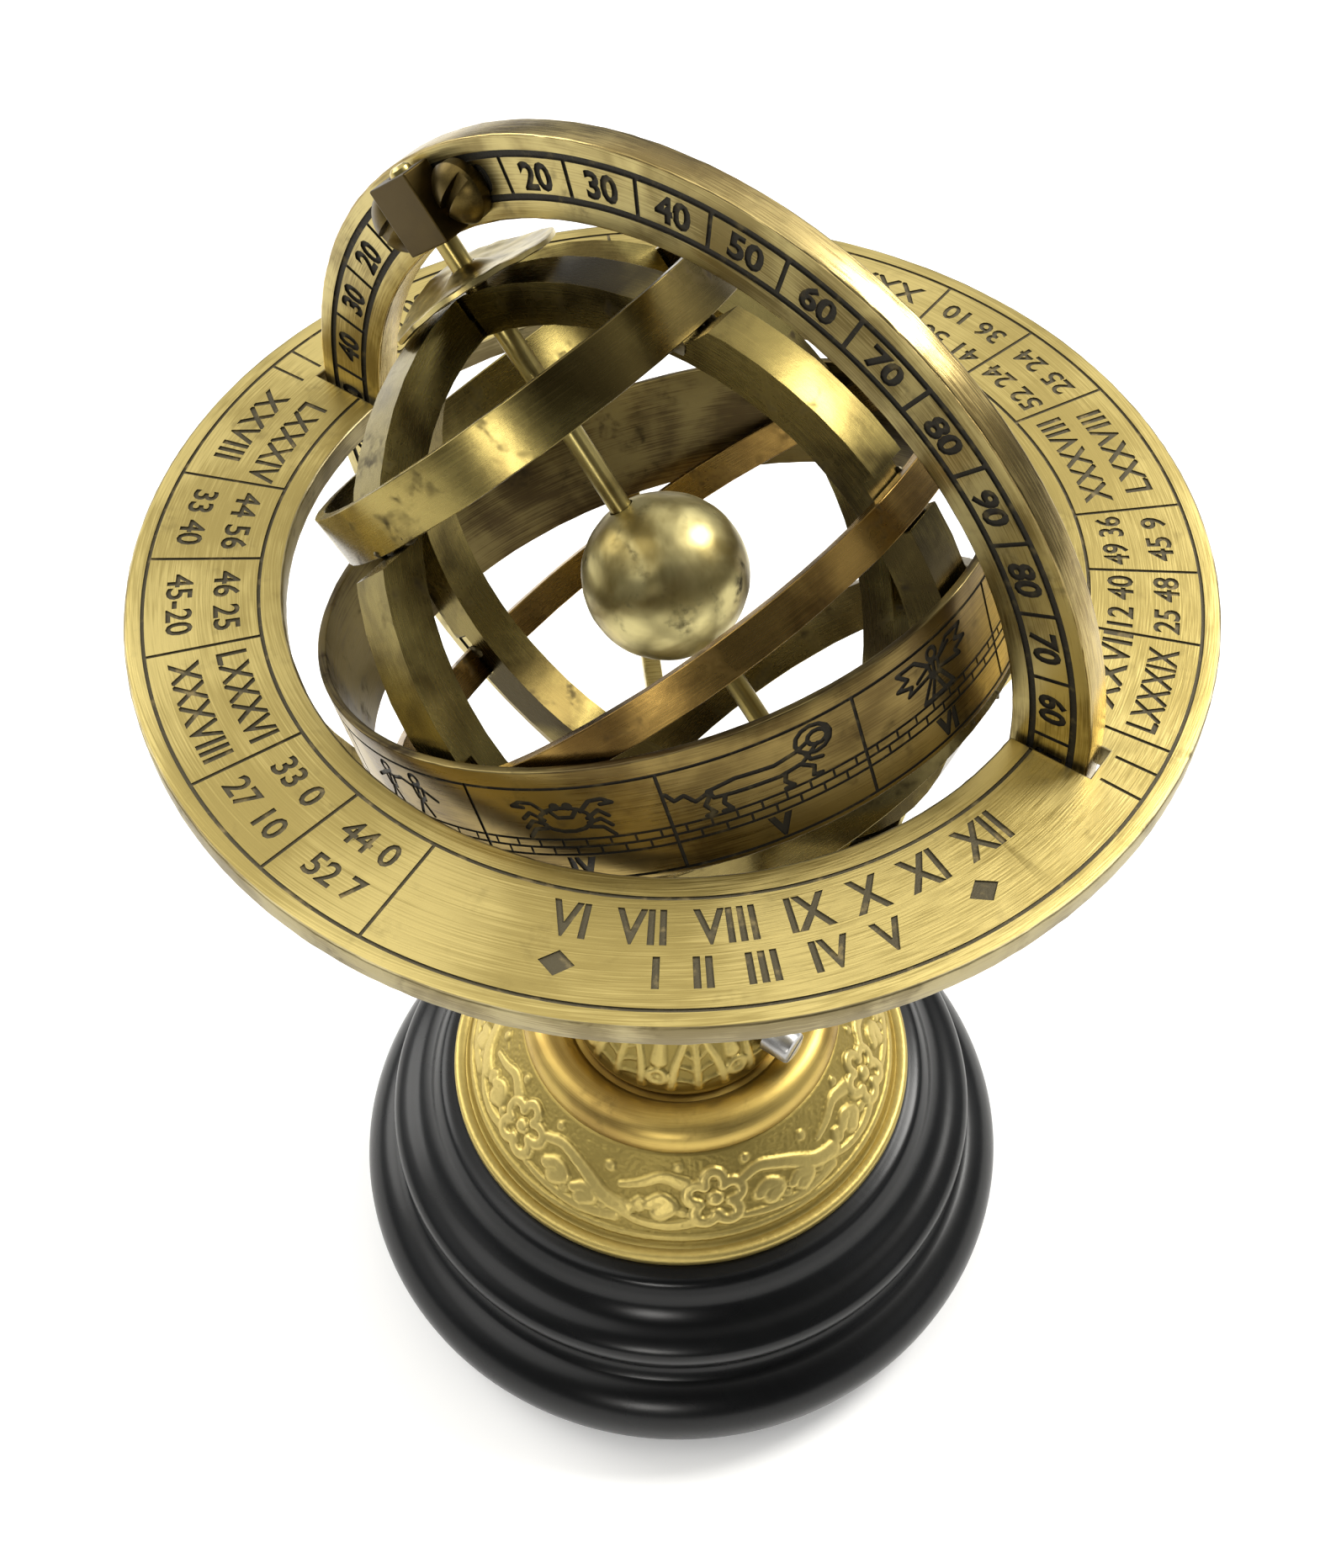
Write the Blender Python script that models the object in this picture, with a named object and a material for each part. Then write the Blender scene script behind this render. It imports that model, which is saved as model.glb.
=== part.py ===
"""Desk armillary sphere: brass rings on a turned black wooden base.

Units are metres and +Z is up. The origin is the centre of the felt pad's underside, where the
sphere stands. The meridian ring stands in the XZ plane: the north pole leans towards -X, and the
engraved face of the meridian looks towards -Y.
"""

import math

import bmesh
import bpy
from mathutils import Matrix, Vector

MM = 0.001
GAP = 0.3 * MM                      # clearance between pieces that touch

# ---- driving dimensions -------------------------------------------------------------------------
HORIZON_TOP = 121.0 * MM            # height of the horizon ring's engraved face
HORIZON_OUTER = 50.0 * MM
HORIZON_INNER = 35.9 * MM
HORIZON_THICK = 2.5 * MM

MERIDIAN_OUTER = 43.1 * MM
MERIDIAN_INNER = 35.6 * MM
MERIDIAN_THICK = 2.7 * MM
MERIDIAN_FACE_Y = -0.3 * MM         # the engraved face
CENTRE_Z = HORIZON_TOP - 1.4 * MM   # the rings' common centre
LATITUDE = math.radians(50.4)       # altitude of the pole above the horizon

AXIS_Y = -1.6 * MM                  # the polar axis runs in front of the engraved face
ROD_RADIUS = 1.05 * MM
ROD_HALF = 43.0 * MM
BALL_RADIUS = 7.9 * MM

CAGE_LEAN = math.radians(5.0)       # the soldered cage sits this far off square on its rod
CAGE_SPIN = math.radians(4.6)       # the solstitial colure against the meridian, at rest
COLURE_OUTER = 31.3 * MM
COLURE_INNER = 27.3 * MM
COLURE_WIDE = 4.4 * MM
EQUATOR_THICK = 1.2 * MM
EQUATOR_WIDE = 3.3 * MM
EQUATOR_HEIGHT = -0.9 * MM
TROPIC_THICK = 1.1 * MM
TROPIC_WIDE = 5.0 * MM
CANCER_OUTER = 22.1 * MM
CANCER_HEIGHT = 20.9 * MM
CANCER_TIP = (math.radians(1.4), math.radians(-0.7))   # its own tip about the cage's X and Y
CAPRICORN_OUTER = 24.9 * MM
CAPRICORN_HEIGHT = -19.5 * MM
ZODIAC_INNER = 31.6 * MM
ZODIAC_THICK = 0.8 * MM
ZODIAC_WIDE = 12.2 * MM
ZODIAC_SHIFT = -2.0 * MM
OBLIQUITY = math.radians(24.0)
DISC_RADIUS = 8.3 * MM
DISC_THICK = 0.8 * MM

BLOCK_WIDE = 5.7 * MM               # pivot block, along the meridian
BLOCK_DEEP = 3.0 * MM
BLOCK_RADII = (35.9 * MM, 42.4 * MM)
SCREW_OFFSET = 5.6 * MM             # pivot screws, each side of the block
SCREW_HEAD = 2.5 * MM
SCREW_SHANK = 1.0 * MM

PAD_RADIUS = 37.0 * MM
PAD_THICK = 1.0 * MM
WOOD_BOTTOM = PAD_THICK + GAP
WOOD_TOP = 27.6 * MM
WOOD_RADIUS = 43.1 * MM
FLANGE_RADIUS = 29.4 * MM
BEAD_RADIUS = 19.7 * MM
BELL_RADIUS = 13.4 * MM
BELL_BOTTOM = 41.3 * MM
BELL_TOP = 62.0 * MM
HUB_RADIUS = 7.8 * MM
HUB_TOP = 83.4 * MM
SPIGOT_RADIUS = 4.0 * MM
SPIGOT_END = 44.0 * MM
BOLT_RADIUS = 2.1 * MM
LOCK_SCREW_Z = 46.0 * MM
CLAMP_SCREW_Z = 80.0 * MM

ARM_ARC = 39.2 * MM                 # radius of each cradle arm's quarter circle
ARM_DEEP = 2.4 * MM
ARM_WIDE = 2.0 * MM
FOOT_THICK = 1.3 * MM
FOOT_WIDE = 4.8 * MM
FOOT_SCREW_R = 43.0 * MM            # distance of the foot screws from the stem

RING_STEPS = 64
SMALL_STEPS = 12
TURNED_STEPS = 32


# ---- scene and materials ------------------------------------------------------------------------
def clear_scene():
    for item in list(bpy.data.objects):
        bpy.data.objects.remove(item, do_unlink=True)


def make_material(name, colour, roughness, metallic):
    material = bpy.data.materials.new(name)
    material.use_nodes = True
    shader = material.node_tree.nodes["Principled BSDF"]
    shader.inputs["Base Color"].default_value = (*colour, 1.0)
    shader.inputs["Roughness"].default_value = roughness
    shader.inputs["Metallic"].default_value = metallic
    return material


clear_scene()
BRASS = make_material("aged_brass", (0.50, 0.39, 0.17), 0.38, 1.0)
DARK_BRASS = make_material("dark_brass", (0.30, 0.22, 0.09), 0.45, 1.0)
STEEL = make_material("steel", (0.55, 0.55, 0.54), 0.30, 1.0)
BLACK_WOOD = make_material("black_wood", (0.012, 0.011, 0.010), 0.28, 0.0)
FELT = make_material("felt", (0.02, 0.06, 0.03), 0.95, 0.0)


# ---- frames -------------------------------------------------------------------------------------
CENTRE = Vector((0.0, AXIS_Y, CENTRE_Z))


def basis(x_axis, z_axis, origin):
    """Right-handed frame with the given X and Z directions."""
    y_axis = z_axis.cross(x_axis)
    frame = Matrix((x_axis, y_axis, z_axis)).transposed().to_4x4()
    frame.translation = origin
    return frame


def polar_axis(altitude):
    return Vector((-math.cos(altitude), 0.0, math.sin(altitude)))


FRONT = Vector((0.0, -1.0, 0.0))
ROD_FRAME = basis(FRONT, polar_axis(LATITUDE), CENTRE)
CAGE_FRAME = basis(FRONT, polar_axis(LATITUDE - CAGE_LEAN), CENTRE) @ Matrix.Rotation(CAGE_SPIN, 4, "Z")
ZODIAC_FRAME = (CAGE_FRAME @ Matrix.Rotation(-OBLIQUITY, 4, "X")
                @ Matrix.Translation((0.0, 0.0, ZODIAC_SHIFT)))


def pivot_frame(sign):
    """Frame of a pivot: X across the block, Y away from the centre, Z out of the engraved face."""
    outward = polar_axis(LATITUDE) * sign
    across = outward.cross(FRONT)
    origin = Vector((0.0, MERIDIAN_FACE_Y, CENTRE_Z))
    frame = Matrix((across, outward, FRONT)).transposed().to_4x4()
    frame.translation = origin
    return frame


# ---- building blocks ----------------------------------------------------------------------------
def finish(name, mesh_data, material, frame=Matrix.Identity(4), smooth=True):
    bmesh.ops.recalc_face_normals(mesh_data, faces=mesh_data.faces)
    mesh = bpy.data.meshes.new(name)
    mesh_data.to_mesh(mesh)
    mesh_data.free()
    mesh.materials.append(material)
    if smooth:
        mesh.shade_smooth()
        mesh.set_sharp_from_angle(angle=math.radians(35.0))
    item = bpy.data.objects.new(name, mesh)
    item.matrix_world = frame
    bpy.context.scene.collection.objects.link(item)
    return item


def turned(name, profile, material, frame=Matrix.Identity(4), steps=RING_STEPS, smooth=True):
    """Solid of revolution about Z. A profile point at radius 0 closes on the axis."""
    data = bmesh.new()
    columns = []
    for radius, height in profile:
        if radius == 0.0:
            columns.append([data.verts.new((0.0, 0.0, height))] * steps)
            continue
        columns.append([data.verts.new((radius * math.cos(math.tau * i / steps),
                                        radius * math.sin(math.tau * i / steps), height))
                        for i in range(steps)])
    closed = profile[0][0] != 0.0
    pairs = list(zip(columns, columns[1:]))
    if closed:
        pairs.append((columns[-1], columns[0]))
    for low, high in pairs:
        for i in range(steps):
            j = (i + 1) % steps
            corners = []
            for vert in (low[i], low[j], high[j], high[i]):
                if vert not in corners:
                    corners.append(vert)
            if len(corners) > 2:
                data.faces.new(corners)
    return finish(name, data, material, frame, smooth)


def band(name, inner, outer, low, high, material, frame=Matrix.Identity(4), steps=RING_STEPS):
    profile = [(inner, low), (outer, low), (outer, high), (inner, high)]
    return turned(name, profile, material, frame, steps)


def rod(name, radius, low, high, material, frame=Matrix.Identity(4), steps=SMALL_STEPS):
    profile = [(0.0, low), (radius, low), (radius, high), (0.0, high)]
    return turned(name, profile, material, frame, steps)


def box(name, low, high, material, frame=Matrix.Identity(4)):
    data = bmesh.new()
    bmesh.ops.create_cube(data, size=1.0)
    for vert in data.verts:
        for axis in range(3):
            vert.co[axis] = high[axis] if vert.co[axis] > 0.0 else low[axis]
    return finish(name, data, material, frame, smooth=False)


def arc(centre, radius, start, end, steps):
    """Points of an arc in a profile plane, from one angle in degrees to another."""
    angles = [math.radians(start + (end - start) * i / steps) for i in range(steps + 1)]
    return [(centre[0] + radius * math.cos(a), centre[1] + radius * math.sin(a)) for a in angles]


def boolean(item, tool, operation):
    tool.hide_render = True
    tool.display_type = "WIRE"
    modifier = item.modifiers.new(tool.name, "BOOLEAN")
    modifier.operation = operation
    modifier.solver = "EXACT"
    modifier.object = tool


def cut(item, tool):
    boolean(item, tool, "DIFFERENCE")


def join(item, tool):
    boolean(item, tool, "UNION")


def along(direction, origin):
    """Frame whose Z points along a direction."""
    helper = Vector((0.0, 0.0, 1.0)) if abs(direction.z) < 0.9 else Vector((1.0, 0.0, 0.0))
    return basis(helper.cross(direction).normalized(), direction.normalized(), origin)


# ---- base and pedestal --------------------------------------------------------------------------
def make_base():
    rod("felt_pad", PAD_RADIUS, 0.0, PAD_THICK, FELT, steps=40)

    recess_top = 8.0 * MM
    bulge = arc((WOOD_RADIUS - 6.0 * MM, 7.5 * MM), 6.0 * MM, -75.0, 75.0, 6)
    bead = arc((35.3 * MM, 19.2 * MM), 2.9 * MM, -50.0, 80.0, 4)
    cove = arc((35.6 * MM, 25.6 * MM), 4.3 * MM, 250.0, 190.0, 3)
    lip = arc((30.2 * MM, 26.1 * MM), 1.5 * MM, -20.0, 90.0, 2)
    profile = [(9.0 * MM, WOOD_BOTTOM), *bulge, (37.6 * MM, 14.4 * MM), (37.4 * MM, 16.3 * MM),
               *bead, *cove, *lip, (2.6 * MM, WOOD_TOP), (2.6 * MM, recess_top), (9.0 * MM, recess_top)]
    turned("wood_base", profile, BLACK_WOOD, steps=40)

    washer_top = recess_top - GAP
    band("base_washer", 2.6 * MM, 7.5 * MM, washer_top - 1.0 * MM, washer_top, STEEL, steps=24)
    head_top = washer_top - 1.0 * MM - GAP
    bolt = rod("base_bolt", BOLT_RADIUS, head_top - 0.2 * MM, 39.5 * MM, STEEL)
    head = rod("base_bolt_head_tool", 4.2 * MM, head_top - 3.2 * MM, head_top, STEEL, steps=6)
    join(bolt, head)


def make_pedestal():
    slope = [(27.6 * MM - 7.6 * MM * t, 29.7 * MM + 8.7 * MM * t ** 0.9) for t in
             [i / 4 for i in range(5)]]
    flange = [(6.3 * MM, 36.6 * MM), (18.6 * MM, 36.6 * MM), (26.4 * MM, 28.2 * MM), (26.4 * MM, 27.9 * MM),
              (FLANGE_RADIUS, 27.9 * MM), (FLANGE_RADIUS, 29.3 * MM), (28.9 * MM, 29.7 * MM),
              *slope, (6.3 * MM, 38.6 * MM)]
    turned("pedestal_flange", flange, BRASS, steps=TURNED_STEPS)

    dome = arc((16.8 * MM, 39.4 * MM), 3.1 * MM, -10.0, 140.0, 5)
    bead = [(6.3 * MM, 38.9 * MM), (BEAD_RADIUS, 38.9 * MM), *dome, (13.75 * MM, 41.0 * MM),
            (6.3 * MM, 41.0 * MM)]
    turned("pedestal_bead", bead, BRASS, steps=TURNED_STEPS)

    skirt = [(BELL_RADIUS, 42.2 * MM), (13.0 * MM, 43.4 * MM), (11.6 * MM, 46.2 * MM),
             (9.8 * MM, 49.4 * MM), (8.3 * MM, 53.0 * MM), (7.3 * MM, 57.0 * MM)]
    collar = [(7.2 * MM, 58.2 * MM), (8.4 * MM, 58.8 * MM), (8.6 * MM, 60.0 * MM), (8.2 * MM, BELL_TOP)]
    bell = [(2.35 * MM, 31.0 * MM), (6.0 * MM, 31.0 * MM), (6.0 * MM, BELL_BOTTOM), (BELL_RADIUS, BELL_BOTTOM),
            *skirt, *collar, (4.3 * MM, BELL_TOP), (4.3 * MM, 43.5 * MM), (2.35 * MM, 43.5 * MM)]
    body = turned("pedestal_bell", bell, BRASS, steps=TURNED_STEPS)
    screw_way = along(Vector((1.0, 0.0, 0.0)), Vector((0.0, 0.0, LOCK_SCREW_Z)))
    cut(body, rod("lock_screw_hole_tool", 1.35 * MM, 3.0 * MM, 20.0 * MM, STEEL, screw_way))


def slotted_screw(name, head, shank, slot, material, frame):
    """Screw along Z: shank below 0, turned head above it, and a slot across the head."""
    screw = turned(name, [(0.0, -shank[1]), (shank[0], -shank[1]), (shank[0], 0.0), *head],
                   material, frame, steps=SMALL_STEPS)
    wide, depth, turn = slot
    top = max(height for _, height in head)
    reach = 2.0 * max(radius for radius, _ in head)
    tool = box(name + "_slot_tool", (-reach, -wide / 2, top - depth), (reach, wide / 2, top + reach),
               material, frame @ Matrix.Rotation(turn, 4, "Z"))
    cut(screw, tool)
    return screw


def make_lock_screw():
    frame = along(Vector((1.0, 0.0, 0.0)), Vector((13.1 * MM, 0.0, LOCK_SCREW_Z)))
    head = [(2.1 * MM, 0.0), (2.1 * MM, 3.4 * MM), (1.8 * MM, 3.8 * MM), (0.0, 3.8 * MM)]
    slotted_screw("stem_lock_screw", head, (1.1 * MM, 8.7 * MM), (0.7 * MM, 1.1 * MM, 0.4), STEEL, frame)


# ---- stem fork, cradle and horizon --------------------------------------------------------------
def make_fork():
    neck = [(6.2 * MM, BELL_TOP + GAP), (6.6 * MM, 63.4 * MM), (5.4 * MM, 66.0 * MM), (5.6 * MM, 69.0 * MM),
            (HUB_RADIUS, 72.6 * MM), (HUB_RADIUS, HUB_TOP - 0.6 * MM), (HUB_RADIUS - 0.6 * MM, HUB_TOP)]
    profile = [(0.0, SPIGOT_END), (SPIGOT_RADIUS, SPIGOT_END), (SPIGOT_RADIUS, BELL_TOP + GAP),
               *neck, (0.0, HUB_TOP)]
    fork = turned("stem_fork", profile, BRASS, steps=TURNED_STEPS)
    slot_low = CENTRE_Z - MERIDIAN_OUTER - GAP
    side = MERIDIAN_FACE_Y + GAP
    slot = box("fork_slot_tool", (-20.0 * MM, MERIDIAN_FACE_Y - GAP, slot_low),
               (20.0 * MM, side + MERIDIAN_THICK, 95.0 * MM), BRASS)
    cut(fork, slot)
    screw_way = along(FRONT, Vector((0.0, 0.0, CLAMP_SCREW_Z)))
    cut(fork, rod("clamp_hole_tool", 1.35 * MM, 0.0, 20.0 * MM, STEEL, screw_way))


def make_clamp_screw():
    frame = along(FRONT, Vector((0.0, -HUB_RADIUS - GAP, CLAMP_SCREW_Z)))
    reach = HUB_RADIUS + GAP + MERIDIAN_FACE_Y - GAP
    head = [(1.9 * MM, 0.0), (1.9 * MM, 0.8 * MM), (3.0 * MM, 1.0 * MM), (3.0 * MM, 3.2 * MM),
            (2.6 * MM, 3.6 * MM), (0.0, 3.6 * MM)]
    slotted_screw("meridian_clamp_screw", head, (1.1 * MM, reach), (0.8 * MM, 1.0 * MM, 0.9), BRASS, frame)


def make_cradle():
    """Four quarter-circle arms at 45 degrees to the meridian, each screwed up into the horizon."""
    foot_top = HORIZON_TOP - HORIZON_THICK - GAP
    foot_low = foot_top - FOOT_THICK
    start = math.asin((HUB_RADIUS + GAP) / (ARM_ARC - ARM_DEEP / 2))
    steps = 12
    for number in range(4):
        turn = Matrix.Rotation(math.radians(45.0 + 90.0 * number), 4, "Z")
        data = bmesh.new()
        rows = []
        for i in range(steps + 1):
            angle = start + (math.pi / 2 - start) * i / steps
            row = []
            for radius in (ARM_ARC - ARM_DEEP / 2, ARM_ARC + ARM_DEEP / 2):
                for side in (-ARM_WIDE / 2, ARM_WIDE / 2):
                    row.append(data.verts.new((radius * math.sin(angle), side,
                                               foot_low + 0.4 * MM - radius * math.cos(angle))))
            rows.append(row)
        for low, high in zip(rows, rows[1:]):
            for a, b in ((0, 1), (1, 3), (3, 2), (2, 0)):
                data.faces.new((low[a], low[b], high[b], high[a]))
        for row in (rows[0], rows[-1]):
            data.faces.new((row[0], row[1], row[3], row[2]))
        arm = finish(f"cradle_arm_{number + 1}", data, BRASS, turn)
        foot = box(f"cradle_foot_tool_{number + 1}",
                   (ARM_ARC - ARM_DEEP, -FOOT_WIDE / 2, foot_low),
                   (FOOT_SCREW_R + 2.6 * MM, FOOT_WIDE / 2, foot_top), BRASS, turn)
        join(arm, foot)
        axis = turn @ Matrix.Translation((FOOT_SCREW_R, 0.0, foot_low))
        cut(arm, rod(f"cradle_hole_tool_{number + 1}", 1.15 * MM, -5.0 * MM, 5.0 * MM, BRASS, axis))
        upright = axis @ Matrix.Translation((0.0, 0.0, -GAP / 2)) @ Matrix.Rotation(math.pi, 4, "X")
        head = [(1.9 * MM, 0.0), (1.9 * MM, 0.7 * MM), (1.3 * MM, 1.2 * MM), (0.0, 1.35 * MM)]
        slotted_screw(f"cradle_screw_{number + 1}", head, (0.9 * MM, 3.2 * MM),
                      (0.5 * MM, 0.6 * MM, 0.3 + 0.8 * number), BRASS, upright)


def make_horizon():
    low = HORIZON_TOP - HORIZON_THICK
    ring = band("horizon_ring", HORIZON_INNER, HORIZON_OUTER, low, HORIZON_TOP, BRASS, steps=80)
    for number, side in enumerate((-1.0, 1.0)):
        ends = sorted((side * (HORIZON_INNER - 3.0 * MM), side * (MERIDIAN_OUTER + 0.5 * MM)))
        slot = box(f"horizon_slot_tool_{number}", (ends[0], MERIDIAN_FACE_Y - 0.35 * MM, low - MM),
                   (ends[1], MERIDIAN_FACE_Y + MERIDIAN_THICK + 0.35 * MM, HORIZON_TOP + MM), BRASS)
        cut(ring, slot)
    for number in range(4):
        turn = Matrix.Rotation(math.radians(45.0 + 90.0 * number), 4, "Z")
        axis = turn @ Matrix.Translation((FOOT_SCREW_R, 0.0, low))
        cut(ring, rod(f"horizon_hole_tool_{number}", 1.1 * MM, -MM, 1.8 * MM, BRASS, axis))


# ---- meridian and pivots ------------------------------------------------------------------------
def make_meridian():
    frame = basis(Vector((1.0, 0.0, 0.0)), FRONT, Vector((0.0, MERIDIAN_FACE_Y, CENTRE_Z)))
    ring = band("meridian_ring", MERIDIAN_INNER, MERIDIAN_OUTER, -MERIDIAN_THICK, 0.0, BRASS, frame)
    for pole, sign in (("north", 1.0), ("south", -1.0)):
        pivot = pivot_frame(sign)
        block = box(f"{pole}_pivot_block", (-BLOCK_WIDE / 2, BLOCK_RADII[0], GAP),
                    (BLOCK_WIDE / 2, BLOCK_RADII[1], GAP + BLOCK_DEEP), DARK_BRASS, pivot)
        groove = basis(Vector((1.0, 0.0, 0.0)), Vector((0.0, 1.0, 0.0)),
                       Vector((0.0, 0.0, MERIDIAN_FACE_Y - AXIS_Y)))
        cut(block, rod(f"{pole}_groove_tool", ROD_RADIUS + 0.15 * MM, 0.0, 50.0 * MM, BRASS, pivot @ groove))
        for letter, side in (("a", -1.0), ("b", 1.0)):
            middle = (BLOCK_RADII[0] + BLOCK_RADII[1]) / 2
            seat = pivot @ Matrix.Translation((side * SCREW_OFFSET, middle - 0.4 * MM, GAP / 2))
            cut(ring, rod(f"{pole}_{letter}_hole_tool", SCREW_SHANK + 0.2 * MM, -9.0 * MM, 9.0 * MM, BRASS,
                          seat))
            dome = arc((0.0, -0.55 * MM), SCREW_HEAD + 0.62 * MM, 28.0, 84.0, 3)
            head = [(SCREW_HEAD, 0.0), (SCREW_HEAD, 0.6 * MM), *dome, (0.0, 2.57 * MM)]
            slotted_screw(f"{pole}_pivot_screw_{letter}", head, (SCREW_SHANK, 2.6 * MM),
                          (0.85 * MM, 1.15 * MM, 0.6 + 0.9 * side), DARK_BRASS, seat)


# ---- the turning sphere -------------------------------------------------------------------------
def make_axis():
    rod("polar_axis_rod", ROD_RADIUS, -ROD_HALF, ROD_HALF, BRASS, ROD_FRAME)
    bore = ROD_RADIUS + 0.15 * MM
    edge = math.degrees(math.asin(bore / BALL_RADIUS))
    surface = arc((0.0, 0.0), BALL_RADIUS, edge - 90.0, 90.0 - edge, 12)
    turned("earth_ball", surface, BRASS, ROD_FRAME, steps=24)
    for pole, sign in (("north", 1.0), ("south", -1.0)):
        near = sign * (COLURE_OUTER + 0.5 * MM)
        ends = sorted((near, near + sign * DISC_THICK))
        band(f"{pole}_hour_disc", bore, DISC_RADIUS, *ends, BRASS, ROD_FRAME, steps=24)


def make_colures():
    """Two square-section rings, halved where they cross at the poles and notched for the bands."""
    half = COLURE_WIDE / 2
    facing = basis(Vector((0.0, 1.0, 0.0)), Vector((1.0, 0.0, 0.0)), Vector((0.0, 0.0, 0.0)))
    solstitial = band("solstitial_colure", COLURE_INNER, COLURE_OUTER, -half, half, BRASS,
                      CAGE_FRAME @ facing, steps=64)
    crosswise = basis(Vector((1.0, 0.0, 0.0)), Vector((0.0, 1.0, 0.0)), Vector((0.0, 0.0, 0.0)))
    equinoctial = band("equinoctial_colure", COLURE_INNER, COLURE_OUTER, -half, half, BRASS,
                       CAGE_FRAME @ crosswise, steps=64)
    middle = (COLURE_INNER + COLURE_OUTER) / 2
    reach = half + GAP
    for number, sign in enumerate((-1.0, 1.0)):
        inner = sorted((sign * (COLURE_INNER - 2.0 * MM), sign * (middle + GAP / 2)))
        outer = sorted((sign * (middle - GAP / 2), sign * (COLURE_OUTER + 2.0 * MM)))
        cut(solstitial, box(f"halving_inner_tool_{number}", (-half - MM, -reach, inner[0]),
                            (half + MM, reach, inner[1]), BRASS, CAGE_FRAME))
        cut(equinoctial, box(f"halving_outer_tool_{number}", (-reach, -half - MM, outer[0]),
                             (reach, half + MM, outer[1]), BRASS, CAGE_FRAME))
    tools = [rod("rod_clear_tool", ROD_RADIUS + 0.15 * MM, -60.0 * MM, 60.0 * MM, BRASS, ROD_FRAME),
             band("equator_notch_tool", COLURE_OUTER - EQUATOR_THICK - GAP, COLURE_OUTER + 5.0 * MM,
                  EQUATOR_HEIGHT - EQUATOR_WIDE / 2 - GAP, EQUATOR_HEIGHT + EQUATOR_WIDE / 2 + 1.6 * MM,
                  BRASS, CAGE_FRAME, steps=64),
             tropic_ring("cancer_notch_tool", CANCER_OUTER, CANCER_HEIGHT, CANCER_TIP, GAP),
             tropic_ring("capricorn_notch_tool", CAPRICORN_OUTER, CAPRICORN_HEIGHT, (0.0, 0.0), GAP)]
    for ring in (solstitial, equinoctial):
        for tool in tools:
            cut(ring, tool)


def tropic_ring(name, outer, height, tip, margin=0.0):
    frame = (CAGE_FRAME @ Matrix.Translation((0.0, 0.0, height)) @ Matrix.Rotation(tip[0], 4, "X")
             @ Matrix.Rotation(tip[1], 4, "Y"))
    half = TROPIC_WIDE / 2 + margin
    reach = 6.0 * MM if margin else 0.0
    return band(name, outer - TROPIC_THICK - margin, outer + reach, -half, half, BRASS, frame, steps=56)


def make_cage():
    make_colures()
    band("equator_ring", COLURE_OUTER - EQUATOR_THICK, COLURE_OUTER,
         EQUATOR_HEIGHT - EQUATOR_WIDE / 2, EQUATOR_HEIGHT + EQUATOR_WIDE / 2, BRASS, CAGE_FRAME)
    tropic_ring("tropic_of_cancer", CANCER_OUTER, CANCER_HEIGHT, CANCER_TIP)
    tropic_ring("tropic_of_capricorn", CAPRICORN_OUTER, CAPRICORN_HEIGHT, (0.0, 0.0))
    band("zodiac_band", ZODIAC_INNER, ZODIAC_INNER + ZODIAC_THICK, -ZODIAC_WIDE / 2, ZODIAC_WIDE / 2,
         DARK_BRASS, ZODIAC_FRAME)


make_base()
make_pedestal()
make_lock_screw()
make_fork()
make_clamp_screw()
make_cradle()
make_horizon()
make_meridian()
make_axis()
make_cage()
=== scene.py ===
"""Looks of the desk armillary sphere: engraved and cast brass, turned black wood, soft studio light.

Shapes are worked out in millimetres in the CAD's own frame, and meshes are made in metres.
"""

from math import asin, cos, degrees, exp, pi, radians, sin, tau

import bmesh
import bpy
import numpy as np
from mathutils import Matrix, Vector, noise
from mathutils.geometry import delaunay_2d_cdt


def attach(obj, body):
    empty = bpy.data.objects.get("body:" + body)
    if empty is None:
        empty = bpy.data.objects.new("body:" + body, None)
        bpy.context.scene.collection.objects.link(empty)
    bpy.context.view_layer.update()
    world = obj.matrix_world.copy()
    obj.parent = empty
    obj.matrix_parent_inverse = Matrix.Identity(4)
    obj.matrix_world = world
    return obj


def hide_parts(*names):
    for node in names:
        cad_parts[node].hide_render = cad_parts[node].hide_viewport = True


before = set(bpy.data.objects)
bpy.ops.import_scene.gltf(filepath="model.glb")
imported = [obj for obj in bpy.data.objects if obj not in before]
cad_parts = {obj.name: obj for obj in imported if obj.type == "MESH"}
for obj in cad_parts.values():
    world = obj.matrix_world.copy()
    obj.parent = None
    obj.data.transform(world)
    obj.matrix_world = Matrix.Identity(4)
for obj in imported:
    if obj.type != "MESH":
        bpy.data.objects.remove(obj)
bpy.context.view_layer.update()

MM = 0.001

# Sizes of the CAD model, in millimetres
HORIZON_TOP, HORIZON_THICK = 121, 2.5
HORIZON_OUTER, HORIZON_INNER = 50, 35.9
CENTRE_Z = 119.6
MERIDIAN_FACE_Y, MERIDIAN_THICK = -0.3, 2.7
MERIDIAN_OUTER, MERIDIAN_INNER = 43.1, 35.6
LATITUDE = 50.4
AXIS_Y = -1.6
ROD_RADIUS, ROD_HALF = 1.05, 43
BALL_RADIUS = 7.9
CAGE_LEAN, CAGE_SPIN, OBLIQUITY = 5, 4.6, 24
COLURE_OUTER = 31.3
EQUATOR_HEIGHT = -0.9
CANCER_HEIGHT, CANCER_TILT = 20.9, (1.4, -0.7)
TROPICS = ((22.1, CANCER_HEIGHT), (24.9, -19.5))  # outer radius and height
ZODIAC_INNER, ZODIAC_THICK, ZODIAC_WIDE, ZODIAC_SHIFT = 31.6, 0.8, 12.2, -2
DISC_RADIUS = 8.3
WOOD_TOP, WOOD_RADIUS = 27.6, 43.1
PIVOT_RADIUS, PIVOT_SPREAD = 38.75, 5
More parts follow.
